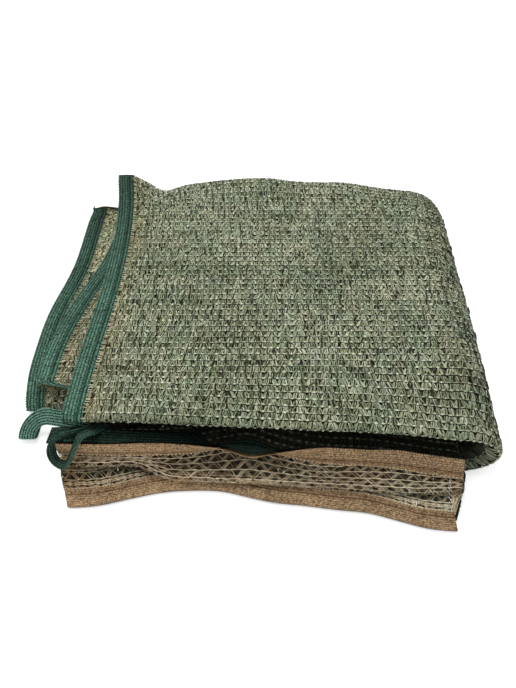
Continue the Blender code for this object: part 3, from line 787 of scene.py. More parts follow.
def slow_field(dice, rows, columns, spread):
    """A grid of smooth random values from 0 to 1 that change over `spread` steps."""
    coarse = dice.random((rows // spread + 3, columns // spread + 3))
    i, j = np.arange(rows) / spread, np.arange(columns) / spread
    i0, j0 = i.astype(int), j.astype(int)
    a, b = (i - i0)[:, None], (j - j0)[None]
    a, b = a * a * (3 - 2 * a), b * b * (3 - 2 * b)
    return (
        coarse[i0][:, j0] * (1 - a) * (1 - b) + coarse[i0 + 1][:, j0] * a * (1 - b)
        + coarse[i0][:, j0 + 1] * (1 - a) * b + coarse[i0 + 1][:, j0 + 1] * a * b
    )


def painted_turn_shade(surface, u):
    """Painted shade: yarns are darkened as the cloth turns under at the sideways fold."""
    share = (u - surface["upper_end"]) / (surface["turn_end"] - surface["upper_end"])
    return 1 - PAINTED_TURN_SHADE * np.clip(share, 0, 1)


def near_tape(surface, u):
    """Browner towards the tapes on the long edges."""
    inner = np.minimum(u, surface["u"][-1] - u) - TAPE
    return np.exp(-np.clip(inner, 0, None) / WARM_WIDTH)


print("a row of the green ply has", int(close["u"][-1] / PITCH), "bunches")

# %% [markdown]
# A knit is never even: its rows drift sideways, bunches open and close, and some yarns are
# darker. These values are drawn once for a whole ply from one seed, so that the pieces that are
# knitted zone by zone still meet without a step.

# %% Draw the unevenness of one ply
def uneven_ply(surface, style, seed):
    """What changes slowly or row by row over a ply, and the dice for what comes after."""
    dice = np.random.default_rng(seed)
    rows = int(surface["v"][-1] / style["row"]) + 3
    legs = int(surface["u"][-1] / PITCH) + 3
    drift = np.cumsum(dice.normal(0, 0.3, rows))
    drift -= np.linspace(0, drift[-1], rows)
    sag = dice.normal(0, style["sag"], (rows, legs))
    sag += style["wander"] * (slow_field(dice, rows, legs, 5) - 0.5)
    return {
        "dice": dice, "drift": drift, "sag": sag, "open": slow_field(dice, rows, legs, 4),
        "lean": mixed(*style["lean"], slow_field(dice, rows, legs, 6)),
        "gap": mixed(*style["gap"], slow_field(dice, rows, legs, 4)),
        "row_tone": dice.normal(0, style["row_tone"], rows),
        "leg_tone": dice.normal(0, style["leg_tone"], (rows, legs)),
    }


def add_yarns(heap, surface, points, faces, u, tone, shade, outer, painted_cover_shade):
    """Add ribbons with their tone, their painted shade and how near they lie to a tape."""
    painted_dim = np.repeat((shade * (painted_turn_shade(surface, u) if outer else 1 + 0 * u)).ravel(), 2)
    if painted_cover_shade:
        painted_dim = painted_dim * painted_cover_shade(points.reshape(-1, 3))
    heap.add(points, faces, tone=tone, shade=painted_dim, warm=np.repeat(near_tape(surface, u).ravel(), 2))


sample = slow_field(np.random.default_rng(0), 40, 40, 5)
print("a slow field runs from", sample.min().round(2), "to", sample.max().round(2))

# %% [markdown]
# A bunch starts at a knot of one chain and ends at a knot of the next one. Its yarns part a
# little in between and twist about their own length, which gives the knit its small lights and
# darks. What lies hidden inside the bundle gets fewer and wider yarns, in straight lines.

# %% Leaning yarns
TIGHT_FADE = 120.0               # over this distance the tighter knit at the left grows loose
LEAN_FROM = 350.0                # from here to the right the bunches lean more
KEPT_MIDDLE = 0.3                # share of every second bunch that keeps its middle yarn
HIDDEN_WIDTH = PITCH * 0.85
ROW_SLACK = 1.08                 # a yarn's length for each millimetre between two chains


def leaning_yarns(heap, surface, side, zone, style, ply, painted_cover_shade):
    """The bunches of one zone. Returns the area of their yarns."""
    v_low, v_high, u_low, u_high, count, full_width, steps, shade, _ = zone
    row, dice, sag, drift = style["row"], ply["dice"], ply["sag"], ply["drift"]
    hidden = steps == 1
    k = np.arange(math.ceil((v_low - 0.01) / row), math.ceil((v_high - 0.01) / row))
    j = np.arange(math.ceil(u_low / PITCH), math.ceil(u_high / PITCH))
    k, j, i = (part.ravel() for part in np.meshgrid(k, j, np.arange(count), indexing="ij"))
    if style["pairs"] and count > 2:
        kept = (j % 2 == 0) | (i != 1) | (dice.random(len(k)) < KEPT_MIDDLE)
        k, j, i = k[kept], j[kept], i[kept]
    place_in_bunch = (i - (count - 1) / 2) / max(1, (count - 1) / 2)
    tight = np.clip((style["tight_to"] - j * PITCH) / TIGHT_FADE, 0, 0.8)
    more = style["lean_right"] * np.clip((j * PITCH - LEAN_FROM) / TIGHT_FADE, 0, 1)
    if hidden:
        gather, belly, gap = PITCH / 4, PITCH / 4, 0 * ply["gap"][k, j]
    else:
        gather = mixed(*style["gather"], ply["open"][k, j]) + tight * 0.6
        belly = mixed(*style["belly"], ply["open"][k, j]) + tight * 0.4
        gap = ply["gap"][k, j] * (1 - 0.5 * tight)
    lean = np.where(j % 2 == 0, 0.5, -0.5) * (ply["lean"][k, j] + more) * (0 if hidden else 1)
    t = np.linspace(0, 1, steps + 1)
    full = np.sin(math.pi * t)
    ends = dice.normal(0, style["stray"], (2, len(k)))
    middle = (j + 0.5) * PITCH
    u = (
        (middle + drift[k] - lean + ends[0])[:, None] * (1 - t)
        + (middle + drift[k + 1] + lean + ends[1])[:, None] * t
        + (place_in_bunch * gather)[:, None] + (place_in_bunch * (belly - gather))[:, None] * full
        + dice.normal(0, style["stray"], len(k))[:, None] * full
    )
    run = mixed(gap[:, None], 1.0, t)
    v = (k[:, None] + run) * row + sag[k, j][:, None] * (1 - t) + sag[k + 1, j][:, None] * t
    if hidden:
        u = np.clip(u, u_low + 3, u_high - 3)
    if "stretch" in style:
        v = style["stretch"](u, v)
    v = np.clip(v, v_low - 6, v_high + style["past"])
    rise = dice.uniform(-0.1, 0.45, len(k))[:, None]
    lift = side * (PLY_AT - 0.35 + (0.35 + rise) * full + 0.10 * (i[:, None] % 2))
    uneven = dice.uniform(0.7, 1.2, len(k))[:, None] * (0.75 + 0.25 * full)
    width = (HIDDEN_WIDTH if hidden else style["yarn"] * full_width * uneven) + 0 * u
    roll = dice.normal(0, 0.4, len(k))[:, None] + dice.normal(0, 0.3, len(k))[:, None] * (t - 0.5)
    points, faces = ribbons(surface, u, v, lift, width, roll, 2, 0.5)
    tone = dice.normal(0.5, style["yarn_tone"], len(k)) + ply["leg_tone"][k, j] + ply["row_tone"][k]
    tone = np.clip(tone, *TONES)[:, None] + style["belly_tone"] * (full - 0.5)
    tone = tone + dice.normal(0, style["fleck"], tone.shape)
    tone = np.repeat(np.clip(tone, *TONES).ravel(), 2)
    outer = v_high <= surface["v_at"]["fold under"]
    add_yarns(heap, surface, points, faces, u, tone, shade, outer, painted_cover_shade)
    return float((width.mean(1) * row * ROW_SLACK).sum())


print("a hidden yarn is", round(HIDDEN_WIDTH, 1), "mm wide")

# %% [markdown]
# A chain is one long ribbon for each row. It swells to a knot wherever a bunch meets it, and sinks
# and thins between two knots.

# %% Chains
def chains(heap, surface, side, zone, style, ply, painted_cover_shade):
    """The chains of one zone. Returns the area of their yarns."""
    v_low, v_high, u_low, u_high, _, _, steps, _, chain_shade = zone
    row, dice, sag = style["row"], ply["dice"], ply["sag"]
    k = np.arange(math.ceil(v_low / row), math.ceil(v_high / row) + 1)
    parts = 4 if steps > 1 else 2
    first, last = math.ceil(u_low / PITCH * parts), int(u_high / PITCH * parts)
    u = np.arange(first, last + 1)[None] * PITCH / parts + np.zeros((len(k), 1))
    nearest = np.clip((u / PITCH).astype(int), 0, sag.shape[1] - 1)
    at_knot = 0.5 - 0.5 * np.cos(2 * math.pi * (u / PITCH - style["knot_at"]))
    v = k[:, None] * row + sag[k[:, None], nearest] + dice.normal(0, 0.12, u.shape)
    if "stretch" in style:
        v = style["stretch"](u, v)
    v = np.clip(v, v_low - 3, v_high + min(3, style["past"]))
    u = u + ply["drift"][k][:, None]
    thick = mixed(*style["chain"], at_knot) * dice.uniform(0.65, 1.3, u.shape)
    lift = side * (PLY_AT + mixed(0.0, 0.55, at_knot))
    roll = dice.normal(0, 0.25, u.shape)
    points, faces = ribbons(surface, np.clip(u, u_low, u_high), v, lift, thick, roll, 2, 0.5)
    tone = mixed(*style["chain_tone"], at_knot) + dice.normal(0, style["fleck"] * 1.5, u.shape)
    tone = np.repeat(np.clip(tone + ply["row_tone"][k][:, None], *TONES).ravel(), 2)
    outer = v_high <= surface["v_at"]["fold under"]
    add_yarns(heap, surface, points, faces, u, tone, chain_shade, outer, painted_cover_shade)
    return float(thick.mean() * (u_high - u_low) * len(k))


def knit(heap, surface, side, zones, style, seed, painted_cover_shade=None):
    """Knit the zones and return their yarns' area in square metres. The last argument gives further
    painted shade from the points."""
    ply = uneven_ply(surface, style, seed)
    area = 0.0
    for zone in zones:
        area += leaning_yarns(heap, surface, side, zone, style, ply, painted_cover_shade)
        area += chains(heap, surface, side, zone, style, ply, painted_cover_shade)
    return area * MM * MM


print("a knot comes every", PITCH, "mm")

# %% [markdown]
# Cut and folded knit is fuzzy: short stray yarns stand off its folds, and where it is sewn to a
# tape a row of light loops lies along the seam. Both are ribbons too, with a seed of their own.

# %% Stray yarns and loops
def fuzz(heap, surface, side, band, ends, count, size, lift, tone, shade, seed):
    """Short stray yarns between two v, from one u to another, mostly along the cloth's edge."""
    dice = np.random.default_rng(seed)
    t = np.linspace(-0.5, 0.5, 4)
    u0, v0 = dice.uniform(*ends, count)[:, None], dice.uniform(*band, count)[:, None]
    long = dice.uniform(0.5, 1.2, count)[:, None] * size
    turn = dice.normal(0, 0.7, count)[:, None]
    u = u0 + long * np.cos(turn) * t
    v = v0 + long * np.sin(turn) * t
    rise = dice.uniform(*lift, count)[:, None] * (1 - 3 * t * t)
    width = dice.uniform(0.7, 1.5, count)[:, None] + 0 * t
    roll = dice.normal(0, 0.6, count)[:, None] + 0 * t
    u = np.clip(u, 0, surface["u"][-1])
    points, faces = ribbons(surface, u, v, side * (PLY_AT + rise), width, roll, 2, 0.5)
    tones = np.repeat(dice.normal(tone, 0.2, count).clip(*TONES), len(t) * 2)
    # the stray yarns carry the painted shade they are given
    heap.add(
        points, faces, tone=tones, shade=np.full(len(tones), shade), warm=np.zeros(len(tones)))


def edge_loops(heap, surface, side, line, inward, ends, gap, tone, shade, seed):
    """A row of light loops along the inner edge of a tape on a long edge."""
    dice = np.random.default_rng(seed)
    v = np.arange(*ends, gap)[:, None]
    v = v + dice.normal(0, 1.2, v.shape) + np.array([[0.0, 0.9, 0.0]])
    u = line + inward * (np.array([[-1.5, 1.2, 4.2]]) + dice.normal(0, 0.5, (len(v), 1)))
    width = dice.uniform(0.8, 1.8, (len(v), 1)) + 0 * u
    rise = PLY_AT + np.array([[1.4, 1.5, 0.4]])
    points, faces = ribbons(surface, u, v, side * rise, width, 0 * u, 2, 0.5)
    tones = np.repeat(dice.normal(tone, 0.12, len(v)).clip(*TONES), 6)
    # the loops carry the painted shade they are given
    heap.add(
        points, faces, tone=tones, shade=np.full(len(tones), shade), warm=np.full(len(tones), 0.5))


print("tones run from", TONES[0], "to", TONES[1])

# %% [markdown]
# The green ply is dense. Its style gives the spread of each measure, in millimetres, and its zones say
# where it is knitted full and where it lies hidden, so that the hidden layers stay light to render. The
# zones also give the painted shade that darkens the yarns inside the folds.
# Three pieces share the work, because one mesh of this many yarns would be too heavy.

# %% The green ply's style and zones
U_END, V = close["u"][-1], close["v_at"]
NET_LEFT, NET_RIGHT = TAPE - 3, U_END - TAPE + 3
# row: between two chains. tight_to: left of this u the knit is tighter. lean_right: how much more
# it leans at the right. past: how far a yarn may run past its zone. yarn: its width. gather and
# belly: half a bunch's spread at its ends and in its middle, from the tightest to the most open.
# lean: how far a bunch leans. gap: share of a row that stays open at a bunch's end. stray, sag and
# wander: how uneven yarns, knots and rows lie. The tones and fleck: how much they vary. chain and
# chain_tone: a chain's width and tone between knots and at one. knot_at: where the knot lies in a
# pitch. pairs: whether most bunches on one side lose their middle yarn.
DENSE = {
    "row": 10.3, "tight_to": 170.0, "lean_right": 1.0, "past": 6,
    "yarn": 1.35, "gather": (3.0, 2.1), "belly": (3.8, 3.5), "lean": (0.6, 3.2), "gap": (0.07, 0.17),
    "stray": 0.4, "sag": 0.15, "wander": 0.9, "yarn_tone": 0.13, "leg_tone": 0.05, "row_tone": 0.03,
    "fleck": 0.13, "belly_tone": -0.12, "chain": (0.4, 2.8), "chain_tone": (0.20, 0.85),
    "knot_at": 0.5, "pairs": False,
}
# painted shade and light: a yarn's colour is multiplied by these values, below one inside the folds and
# above one in the open patches at the left
OPEN, PAINTED_DIM, PAINTED_HIDDEN, PAINTED_DEEP = 1.0, 0.35, 0.10, 0.05    # how bright the yarns are, outside to inside
PAINTED_FOLD_END, PAINTED_BRIGHT = 0.8, 1.25         # at the fold's right end, and in the open slot at the left
BACK_TURN = (V["second far"], V["third far"])
LEFT_PART, RIGHT_PART, SLOT = 100, U_END - 100, U_END - 60
# painted shade of the chains in the dark slot, a little lighter than that of its yarns
PAINTED_SLOT_CHAIN = 0.22                 # chains catch a little more light there than the yarns
UNDER_RIGHT = close["upper_end"] - 25
# columns: first and last v, first and last u, yarns to a bunch, how wide they are, steps along a yarn,
# painted shade of the yarns, painted shade of the chains
green_zones = (
    (V["back seam"] - 3, V["fold"] - 1, NET_LEFT, close["turn_end"], 5, 1.0, 3, OPEN, OPEN),
    (V["fold"] - 1, V["fold under"], NET_LEFT, UNDER_RIGHT, 4, 1.4, 2, PAINTED_DEEP, PAINTED_DEEP),
    (V["fold"] - 1, V["fold under"], UNDER_RIGHT, close["turn_end"], 5, 1.0, 3, PAINTED_FOLD_END, PAINTED_FOLD_END),
    (V["back seam"] - 3, V["before fold"], close["turn_end"], NET_RIGHT, 2, 2.0, 1, PAINTED_DIM, PAINTED_DIM),
    (V["before fold"], V["fold under"], close["turn_end"], SLOT, 2, 2.0, 1, PAINTED_DIM, PAINTED_DIM),
    (V["before fold"], V["fold under"], SLOT, NET_RIGHT, 5, 1.1, 3, PAINTED_BRIGHT, PAINTED_BRIGHT),
    (V["fold under"], BACK_TURN[1], NET_LEFT, LEFT_PART, 4, 1.2, 2, OPEN, OPEN),
    (V["fold under"], BACK_TURN[0], LEFT_PART, RIGHT_PART, 2, 3.0, 1, PAINTED_HIDDEN, PAINTED_HIDDEN),
    (BACK_TURN[0], BACK_TURN[1], LEFT_PART, RIGHT_PART, 3, 1.7, 2, PAINTED_DIM, PAINTED_DIM),
    (V["fold under"], BACK_TURN[1], RIGHT_PART, NET_RIGHT, 5, 1.1, 3, PAINTED_BRIGHT, PAINTED_BRIGHT),
    (BACK_TURN[1], V["front slope"], NET_LEFT, LEFT_PART, 5, 1.1, 3, OPEN, OPEN),
    (BACK_TURN[1], V["front slope"], LEFT_PART, RIGHT_PART, 2, 3.0, 1, PAINTED_HIDDEN, PAINTED_HIDDEN),
    (BACK_TURN[1], V["front slope"], RIGHT_PART, NET_RIGHT, 5, 1.1, 3, OPEN, OPEN),
    (V["front slope"], V["seam"] + 2, 0, close["turn_end"], 4, 1.2, 3, PAINTED_DEEP, PAINTED_SLOT_CHAIN),
    (V["front slope"], V["seam"] + 2, close["turn_end"], U_END, 2, 2.0, 1, PAINTED_HIDDEN, PAINTED_HIDDEN),
)
# columns: piece, its zones
GREEN_PARTS = (
    ("knit_green_top", slice(0, 3)), ("knit_green_middle", slice(3, 10)),
    ("knit_green_front", slice(10, 15)),
)
print(len(green_zones), "zones of green knit")

# %% Knit the green ply
GREEN_SEED, LOOP_GAP, FUZZ_LONG = 3, 4.3, 6.0
green_pieces, green_areas = [], []
for title, part in GREEN_PARTS:
    heap = Heap()
    green_areas.append(knit(heap, close, 1, green_zones[part], DENSE, seed=GREEN_SEED))
    if title == "knit_green_top":
        crest = (V["fold top"] + 1, V["fold"] + 1)
        fuzz(
            heap, close, 1, crest, (NET_LEFT, close["upper_end"] + 20), count=260, size=FUZZ_LONG,
            lift=(0.1, 0.7), tone=0.42, shade=0.8, seed=21)
        edge_loops(
            heap, close, 1, TAPE, 1, (V["back seam"], V["fold"]), LOOP_GAP, tone=0.72, shade=1.0,
            seed=31)
    elif title == "knit_green_middle":
        edge_loops(
            heap, close, 1, TAPE, 1, (V["back fold under"], V["front slope"]), LOOP_GAP, tone=0.6,
            shade=0.9, seed=32)
        edge_loops(
            heap, close, 1, U_END - TAPE, -1, (V["after fold"], V["back fold"]), LOOP_GAP,
            tone=0.65, shade=0.9, seed=33)
    green_pieces.append(heap.to_object(title, GREEN_YARN))
print("green yarns cover", np.round(green_areas, 2), "square metres")

# %% [markdown]
# The tan ply shows only in the fold that hangs below the upper strip, and behind the lower strip.
# There its thin yarns leave open triangles. Along both seams runs a light, knotted line of stitches.
# Inside the bundle the ply is a plain layer, darkened by painted shade, that stops the light, and what
# lies behind the hanging fold gets painted shade too.

# %% The tan ply's style and zones
V_TAN = loose["v_at"]
AIRY = {
    "row": 10.3, "tight_to": 0.0, "lean_right": 0.0, "past": 6,
    "yarn": 0.66, "gather": (1.9, 2.2), "belly": (1.9, 2.2), "lean": (8.2, 8.8), "gap": (0.0, 0.03),
    "stray": 0.2, "sag": 0.1, "wander": 0.4, "yarn_tone": 0.20, "leg_tone": 0.10, "row_tone": 0.03,
    "fleck": 0.06, "belly_tone": 0.05, "chain": (0.7, 1.15), "chain_tone": (0.62, 0.80),
    "knot_at": 0.0, "pairs": True,
}
# painted shade of the chains just behind the hanging fold
PAINTED_TAN_DIM = 0.2                        # chains just behind the hanging fold
tan_zones = (
    (V_TAN["back seam"] - 3, V_TAN["fold under"], NET_LEFT, NET_RIGHT, 2, 4.5, 1, PAINTED_DEEP, PAINTED_DEEP),
    (V_TAN["fold under"], V_TAN["under slope"], NET_LEFT, NET_RIGHT, 2, 4.0, 1, PAINTED_HIDDEN, PAINTED_HIDDEN),
    (V_TAN["under slope"], V_TAN["hang under"], 0, loose["turn_end"], 3, 1.0, 3, PAINTED_HIDDEN, PAINTED_TAN_DIM),
    (V_TAN["hang under"], V_TAN["seam"] + 2, 0, loose["turn_end"], 3, 1.0, 3, OPEN, OPEN),
    (
        V_TAN["under slope"], V_TAN["seam"] + 2, loose["turn_end"], loose["u"][-1], 3, 1.0, 3,
        OPEN, OPEN,
    ),
)
print(len(tan_zones), "zones of tan knit")


# %% Fold, shade and seam of the tan ply
def wider_rows(u, v):
    """The hanging ply's rows lie further apart at the right, where its front is shorter."""
    fold = V_TAN["hang"]
    return fold + (v - fold) * np.interp(u, (290, 440), (1.0, 1.6))


def seam_chain(heap, surface, side, v, ends, seed):
    """The light, knotted line of stitches along a tape's seam."""
    dice = np.random.default_rng(seed)
    u = np.arange(*ends, 1.4)[None]
    knots = 0.5 - 0.5 * np.cos(2 * math.pi * u / LOOP_GAP)
    width = mixed(0.4, 1.7, knots) * dice.uniform(0.8, 1.2, u.shape)
    line = v + dice.normal(0, 0.15, u.shape)
    lift = side * (PLY_AT + 1.4 + 0.5 * knots)
    points, faces = ribbons(surface, u, line, lift, width, 0 * u, 2, 0.5)
    tone = np.repeat((mixed(0.1, 0.75, knots) + dice.normal(0, 0.06, u.shape)).ravel(), 2)
    heap.add(
        points, faces, tone=np.clip(tone, 0.02, 0.85), shade=0 * tone + 1, warm=0 * tone + 0.3)


HANGING = {**AIRY, "row": 8.4, "stretch": wider_rows, "past": 1}


def painted_fold_shade(points):
    """Painted shade for what lies behind the hanging fold."""
    behind = points[:, 1] - column(HANGING_FOLD, 1, points[:, 0])
    return np.interp(behind, (-4, 5), (1.0, PAINTED_TAN_DIM))


print("rows of the hanging fold lie", HANGING["row"], "mm apart")

# %% Knit the tan ply
TAN_SEED = 8
SEAM_LINE = V_TAN["seam"] - 0.6
# columns: piece, its zones, style, further painted shade
TAN_PARTS = (
    ("knit_tan_inside", slice(0, 3), AIRY, None), ("knit_tan_hanging", slice(3, 4), HANGING, None),
    ("knit_tan_lower", slice(4, 5), AIRY, painted_fold_shade),
)
tan_pieces, tan_areas = [], []
for title, part, style, painted_cover_shade in TAN_PARTS:
    heap = Heap()
    tan_areas.append(knit(heap, loose, -1, tan_zones[part], style, TAN_SEED, painted_cover_shade))
    if title == "knit_tan_hanging":
        seam_chain(heap, loose, -1, SEAM_LINE, (0, loose["upper_end"]), seed=41)
        for ends, count in (((185, 275), 130), ((0, loose["upper_end"]), 60)):
            fuzz(
                heap, loose, -1, (V_TAN["hang"] - 4, V_TAN["hang"] + 5), ends, count, FUZZ_LONG,
                lift=(0.1, 1.4), tone=0.45, shade=0.8, seed=22)
    elif title == "knit_tan_lower":
        seam_chain(heap, loose, -1, SEAM_LINE, (loose["turn_end"], loose["u"][-1]), seed=42)
    tan_pieces.append(heap.to_object(title, TAN_YARN))
print("tan yarns cover", np.round(tan_areas, 2), "square metres")

# %% [markdown]
# ## The tapes
# On the real net a ribbed, knitted tape binds each edge, one on either side of the cloth. It could
# be a plain strip with a picture of ribs, but its edge shows against the light. So it is a strip
# 24 mm wide that lies on its ply, with real ribs along it, a groove where it is stitched down, and
# a row of tiny loops on its free edge.

# %% Ribbed tape
RIB = 4.0              # between the ribs of the tape
GROOVE_AT = 7.5        # from the inner edge to the sewn groove
EDGE_LOOP = 2.9        # between the loops on its edge
RIB_HEIGHTS = {1: 0.22, -1: 0.10}      # of the green and of the tan tape
LOOP_ALONG = np.array([-1.0, -0.55, 0.55, 1.0])     # the shape of one such loop
LOOP_OUT = np.array([-0.6, 1.0, 1.0, -0.6])


def tape(heap, surface, side, line, start, end, step, inward, away, shade):
    """A tape whose free edge is at `line`, running from start to end. It runs along u if
    `away` is "v", and its width goes inward, +1 or -1, from the line."""
    count = max(2, int(abs(end - start) / step))
    along = np.linspace(start, end, count + 1)
    across = np.linspace(0, TAPE, 23)
    along_grid, across_grid = np.meshgrid(along, across, indexing="ij")
    ribs = RIB_HEIGHTS[side] * np.cos(across_grid / RIB * 2 * math.pi)
    sewn = np.exp(-((across_grid - (TAPE - GROOVE_AT)) / 1.1) ** 2)
    edge = np.clip((across_grid - 1) / 1.5, 0, 1) * np.clip((TAPE - across_grid) / 1.5, 0, 1)
    lift = side * (TAPE_AT + 0.3 * edge + ribs * edge - 0.5 * sewn)
    inner = line + inward * across_grid
    u, v = (inner, along_grid) if away == "u" else (along_grid, inner)
    points, _ = place(surface, u, v, lift)
    groove = np.clip(sewn * 1.1 + 0.25 * (across_grid > TAPE - GROOVE_AT), 0, 1)
    # painted shade: the given value times a darkening towards the back and the right of the bundle
    heap.add(
        points, band_faces(1, *points.shape[:2]), along=along_grid, across=across_grid,
        groove=groove, shade=shade * painted_shade_at(points))
    free_edge(heap, surface, side, line, start, end, inward, away, shade)


def free_edge(heap, surface, side, line, start, end, inward, away, shade):
    """The row of loops along a tape's free edge."""
    at = np.arange(min(start, end) + 1, max(start, end) - 1, EDGE_LOOP)
    a = at[:, None] + LOOP_ALONG
    out = line - inward * LOOP_OUT * 0.9 + 0 * a
    inside = line + inward * 1.2 + 0 * a
    for high in (0.25, -0.25):
        rim = []
        for where in (out, inside):
            u, v = (where, a) if away == "u" else (a, where)
            # beyond the edge of the surface the loop keeps the edge's own direction
            rim.append(beyond(surface, u, v, side * (TAPE_AT + high)))
        loops = np.stack(rim, 2)
        heap.add(
            loops, band_faces(*loops.shape[:3]), along=np.repeat(a, 2),
            across=np.zeros(a.size * 2), groove=np.full(a.size * 2, 0.15),
            shade=np.full(a.size * 2, shade))


def painted_shade_at(points):
    """Painted shade: the tape is a little darker towards the back and the right."""
    x, y = points[..., 0].ravel(), points[..., 1].ravel()
    return np.interp(y, (-100, 250), (1.02, 0.45)) * np.interp(x, (-80, 200), (1.05, 0.85))


def beyond(surface, u, v, lift):
    """Like place, but also a little past the edges of the surface."""
    u_in = np.clip(u, 0, surface["u"][-1])
    v_in = np.clip(v, 0, surface["v"][-1])
    points, _ = place(surface, u_in, v_in, lift)
    inside_u = np.clip(u, 2, surface["u"][-1] - 2)
    inside_v = np.clip(v, 2, surface["v"][-1] - 2)
    back, _ = place(surface, inside_u, inside_v, lift)
    excess = np.hypot(u - u_in, v - v_in)
    return points + unit(points - back) * excess[..., None]


def overhang(heap, surface, side, start, end, wide, shade):
    """A tape that shows past the edge of the cloth, widest half way from start to end."""
    along = np.linspace(start, end, 40)[:, None]
    t = (along - start) / (end - start)
    across = 1.5 - np.linspace(0, 1, 5) * (1.5 + wide * np.sin(math.pi * t))
    points = beyond(surface, across, along + 0 * across, side * TAPE_AT)
    heap.add(
        points, band_faces(1, *points.shape[:2]), along=along + 0 * across, across=across + 6,
        groove=0 * points[..., 0], shade=0 * points[..., 0] + shade)


print("a tape has", int(TAPE / RIB), "ribs")

# %% [markdown]
# The tapes are sewn back to back along all four edges. On the front edge they stop short of the
# sideways fold, and on the long edges short of the front corner, where the loops begin.

# %% Sew on the tapes
# columns: node it stands for, ply, edge, station where it ends, how far its free edge is drawn in,
# painted shade (low for the green front tape, which lies in shade under the front fold), step along
TAPES = (
    ("tape_green_front", "green", "front", "seam", 2.0, 0.13, 3.0),
    ("tape_tan_front", "tan", "front", "seam", 0.0, 1.0, 3.0),
    ("tape_green_back", "green", "back", "seam", 0.0, 1.0, 4.0),
    ("tape_tan_back", "tan", "back", "seam", 2.0, 1.0, 4.0),
    ("tape_green_left_upper", "green", "left upper", "front bend", 0.0, 1.0, 3.0),
    ("tape_tan_left_upper", "tan", "left upper", "under slope", 0.8, 1.0, 4.0),
    ("tape_green_left_lower", "green", "left lower", "front slope", 0.0, 1.0, 3.0),
    ("tape_tan_left_lower", "tan", "left lower", "under slope", 0.8, 1.0, 4.0),
)
PLIES = {"green": (close, 1, GREEN_TAPE), "tan": (loose, -1, TAN_TAPE)}
tape_pieces = {}
for node, ply, edge, end_at, drawn, shade, step in TAPES:
    surface, side, material = PLIES[ply]
    heap = Heap()
    u_last, v_last = surface["u"][-1], surface["v"][-1]
    first, last = surface["v_at"]["back seam"] + 0.4, surface["v_at"][end_at] - 0.4
    if edge == "front":
        for start, end in ((0, surface["upper_end"] + 2), (surface["turn_end"] - 2, u_last)):
            tape(heap, surface, side, v_last - drawn, start, end, step, -1, "v", shade)
    elif edge == "back":
        tape(heap, surface, side, drawn, 0, u_last, step, 1, "v", shade)
    elif edge == "left upper":
        tape(heap, surface, side, drawn, first, last, step, 1, "u", shade)
        if ply == "tan":
            # painted light: the tan sliver past the edge is painted a little brighter than its tape
            overhang(heap, surface, side, V_TAN["back fold under"], V_TAN["third middle"], 4.0, 1.1)
    else:
        tape(heap, surface, side, u_last - drawn, first, last, step, -1, "u", shade)
    tape_pieces[node] = heap.to_object(node.replace("tape_", "binding_"), material)

# %% [markdown]
# ## The tie loops
# Two loops of narrower tape, doubled, leave the bundle at its left front corner, to tie the net
# down. A bevelled curve would give a band as well, but not one that turns as freely. So each is a
# ribbed band swept along a path of points, which also say which way its width points there. The
# paths are those of the solids, the lower one set a little to the right.

# %% Paths of the loops
# columns: x, y, z of the path, then the direction of the tape's width
LOOP_UPPER = (
    (-200, -214, 34.6, 0, 0.99, 0.10), (-221, -214, 42, 0, 0.92, 0.40),
    (-242, -210, 43.5, 0, 0.84, 0.54), (-258, -204, 38, -0.10, 0.80, 0.60),
    (-271, -203, 30, -0.55, 0.68, 0.46), (-281, -208, 19, -0.95, 0.28, 0.10),
    (-284, -214, 8.5, -1, 0, 0), (-283, -209, 3.4, -1, 0, 0), (-281, -201, 6, -0.98, 0.20, 0.05),
    (-276, -193, 15, -0.70, 0.55, 0.40), (-265, -191, 24, -0.30, 0.75, 0.58),
    (-253, -195, 29, 0, 0.80, 0.60),
)
LOOP_LOWER = (
    (-186, -212, 34.8, 0.93, -0.36, -0.06), (-191, -226, 42.5, 0.89, -0.42, -0.14),
    (-197, -239, 52, 0.87, -0.50, -0.04), (-205, -250, 57, 0.72, -0.63, 0.30),
    (-210, -261, 51.5, 0.47, -0.85, 0.22), (-217, -266, 37, 0.30, -0.95, 0.02),
    (-225, -267, 27, -0.15, -0.99, -0.02), (-234, -263, 27, -0.48, -0.84, 0.24),
    (-240, -256, 36, -0.64, -0.65, 0.41), (-237, -251, 46, -0.58, -0.31, 0.75),
    (-228, -245, 51, -0.22, -0.11, 0.97), (-214, -238, 49, 0.10, 0.05, 0.99),
    (-203, -229, 43, 0.20, 0.10, 0.97),
)
# the green tape's end, which lies loose behind the tan one at the left
TAPE_TAIL = (
    (-247, -233, 39, 0.15, 0.98, 0.1), (-215, -233, 40, 0, 1, 0.1), (-180, -234, 38, 0, 1, 0),
    (-140, -235, 36, 0, 1, -0.05), (-100, -235, 33, 0, 1, -0.1), (-62, -233, 30, 0, 1, -0.1),
)
UPPER_WIDE, LOWER_WIDE, TAIL_WIDE = 20.0, 14.0, 23.0
BAND_RIB, TAIL_STEPS = 0.28, 60
print("the paths have", len(LOOP_UPPER), len(LOOP_LOWER), len(TAPE_TAIL), "points")


# %% Bands swept along a path
def rounded(points, count):
    """A smooth curve of this many points through the given ones, evenly spaced."""
    points = np.array(points, float)
    length = np.concatenate([[0], np.cumsum(np.linalg.norm(np.diff(points, axis=0), axis=1))])
    at = np.linspace(0, length[-1], count)
    return np.stack([hermite(at, length, points[:, k]) for k in range(points.shape[1])], 1), at


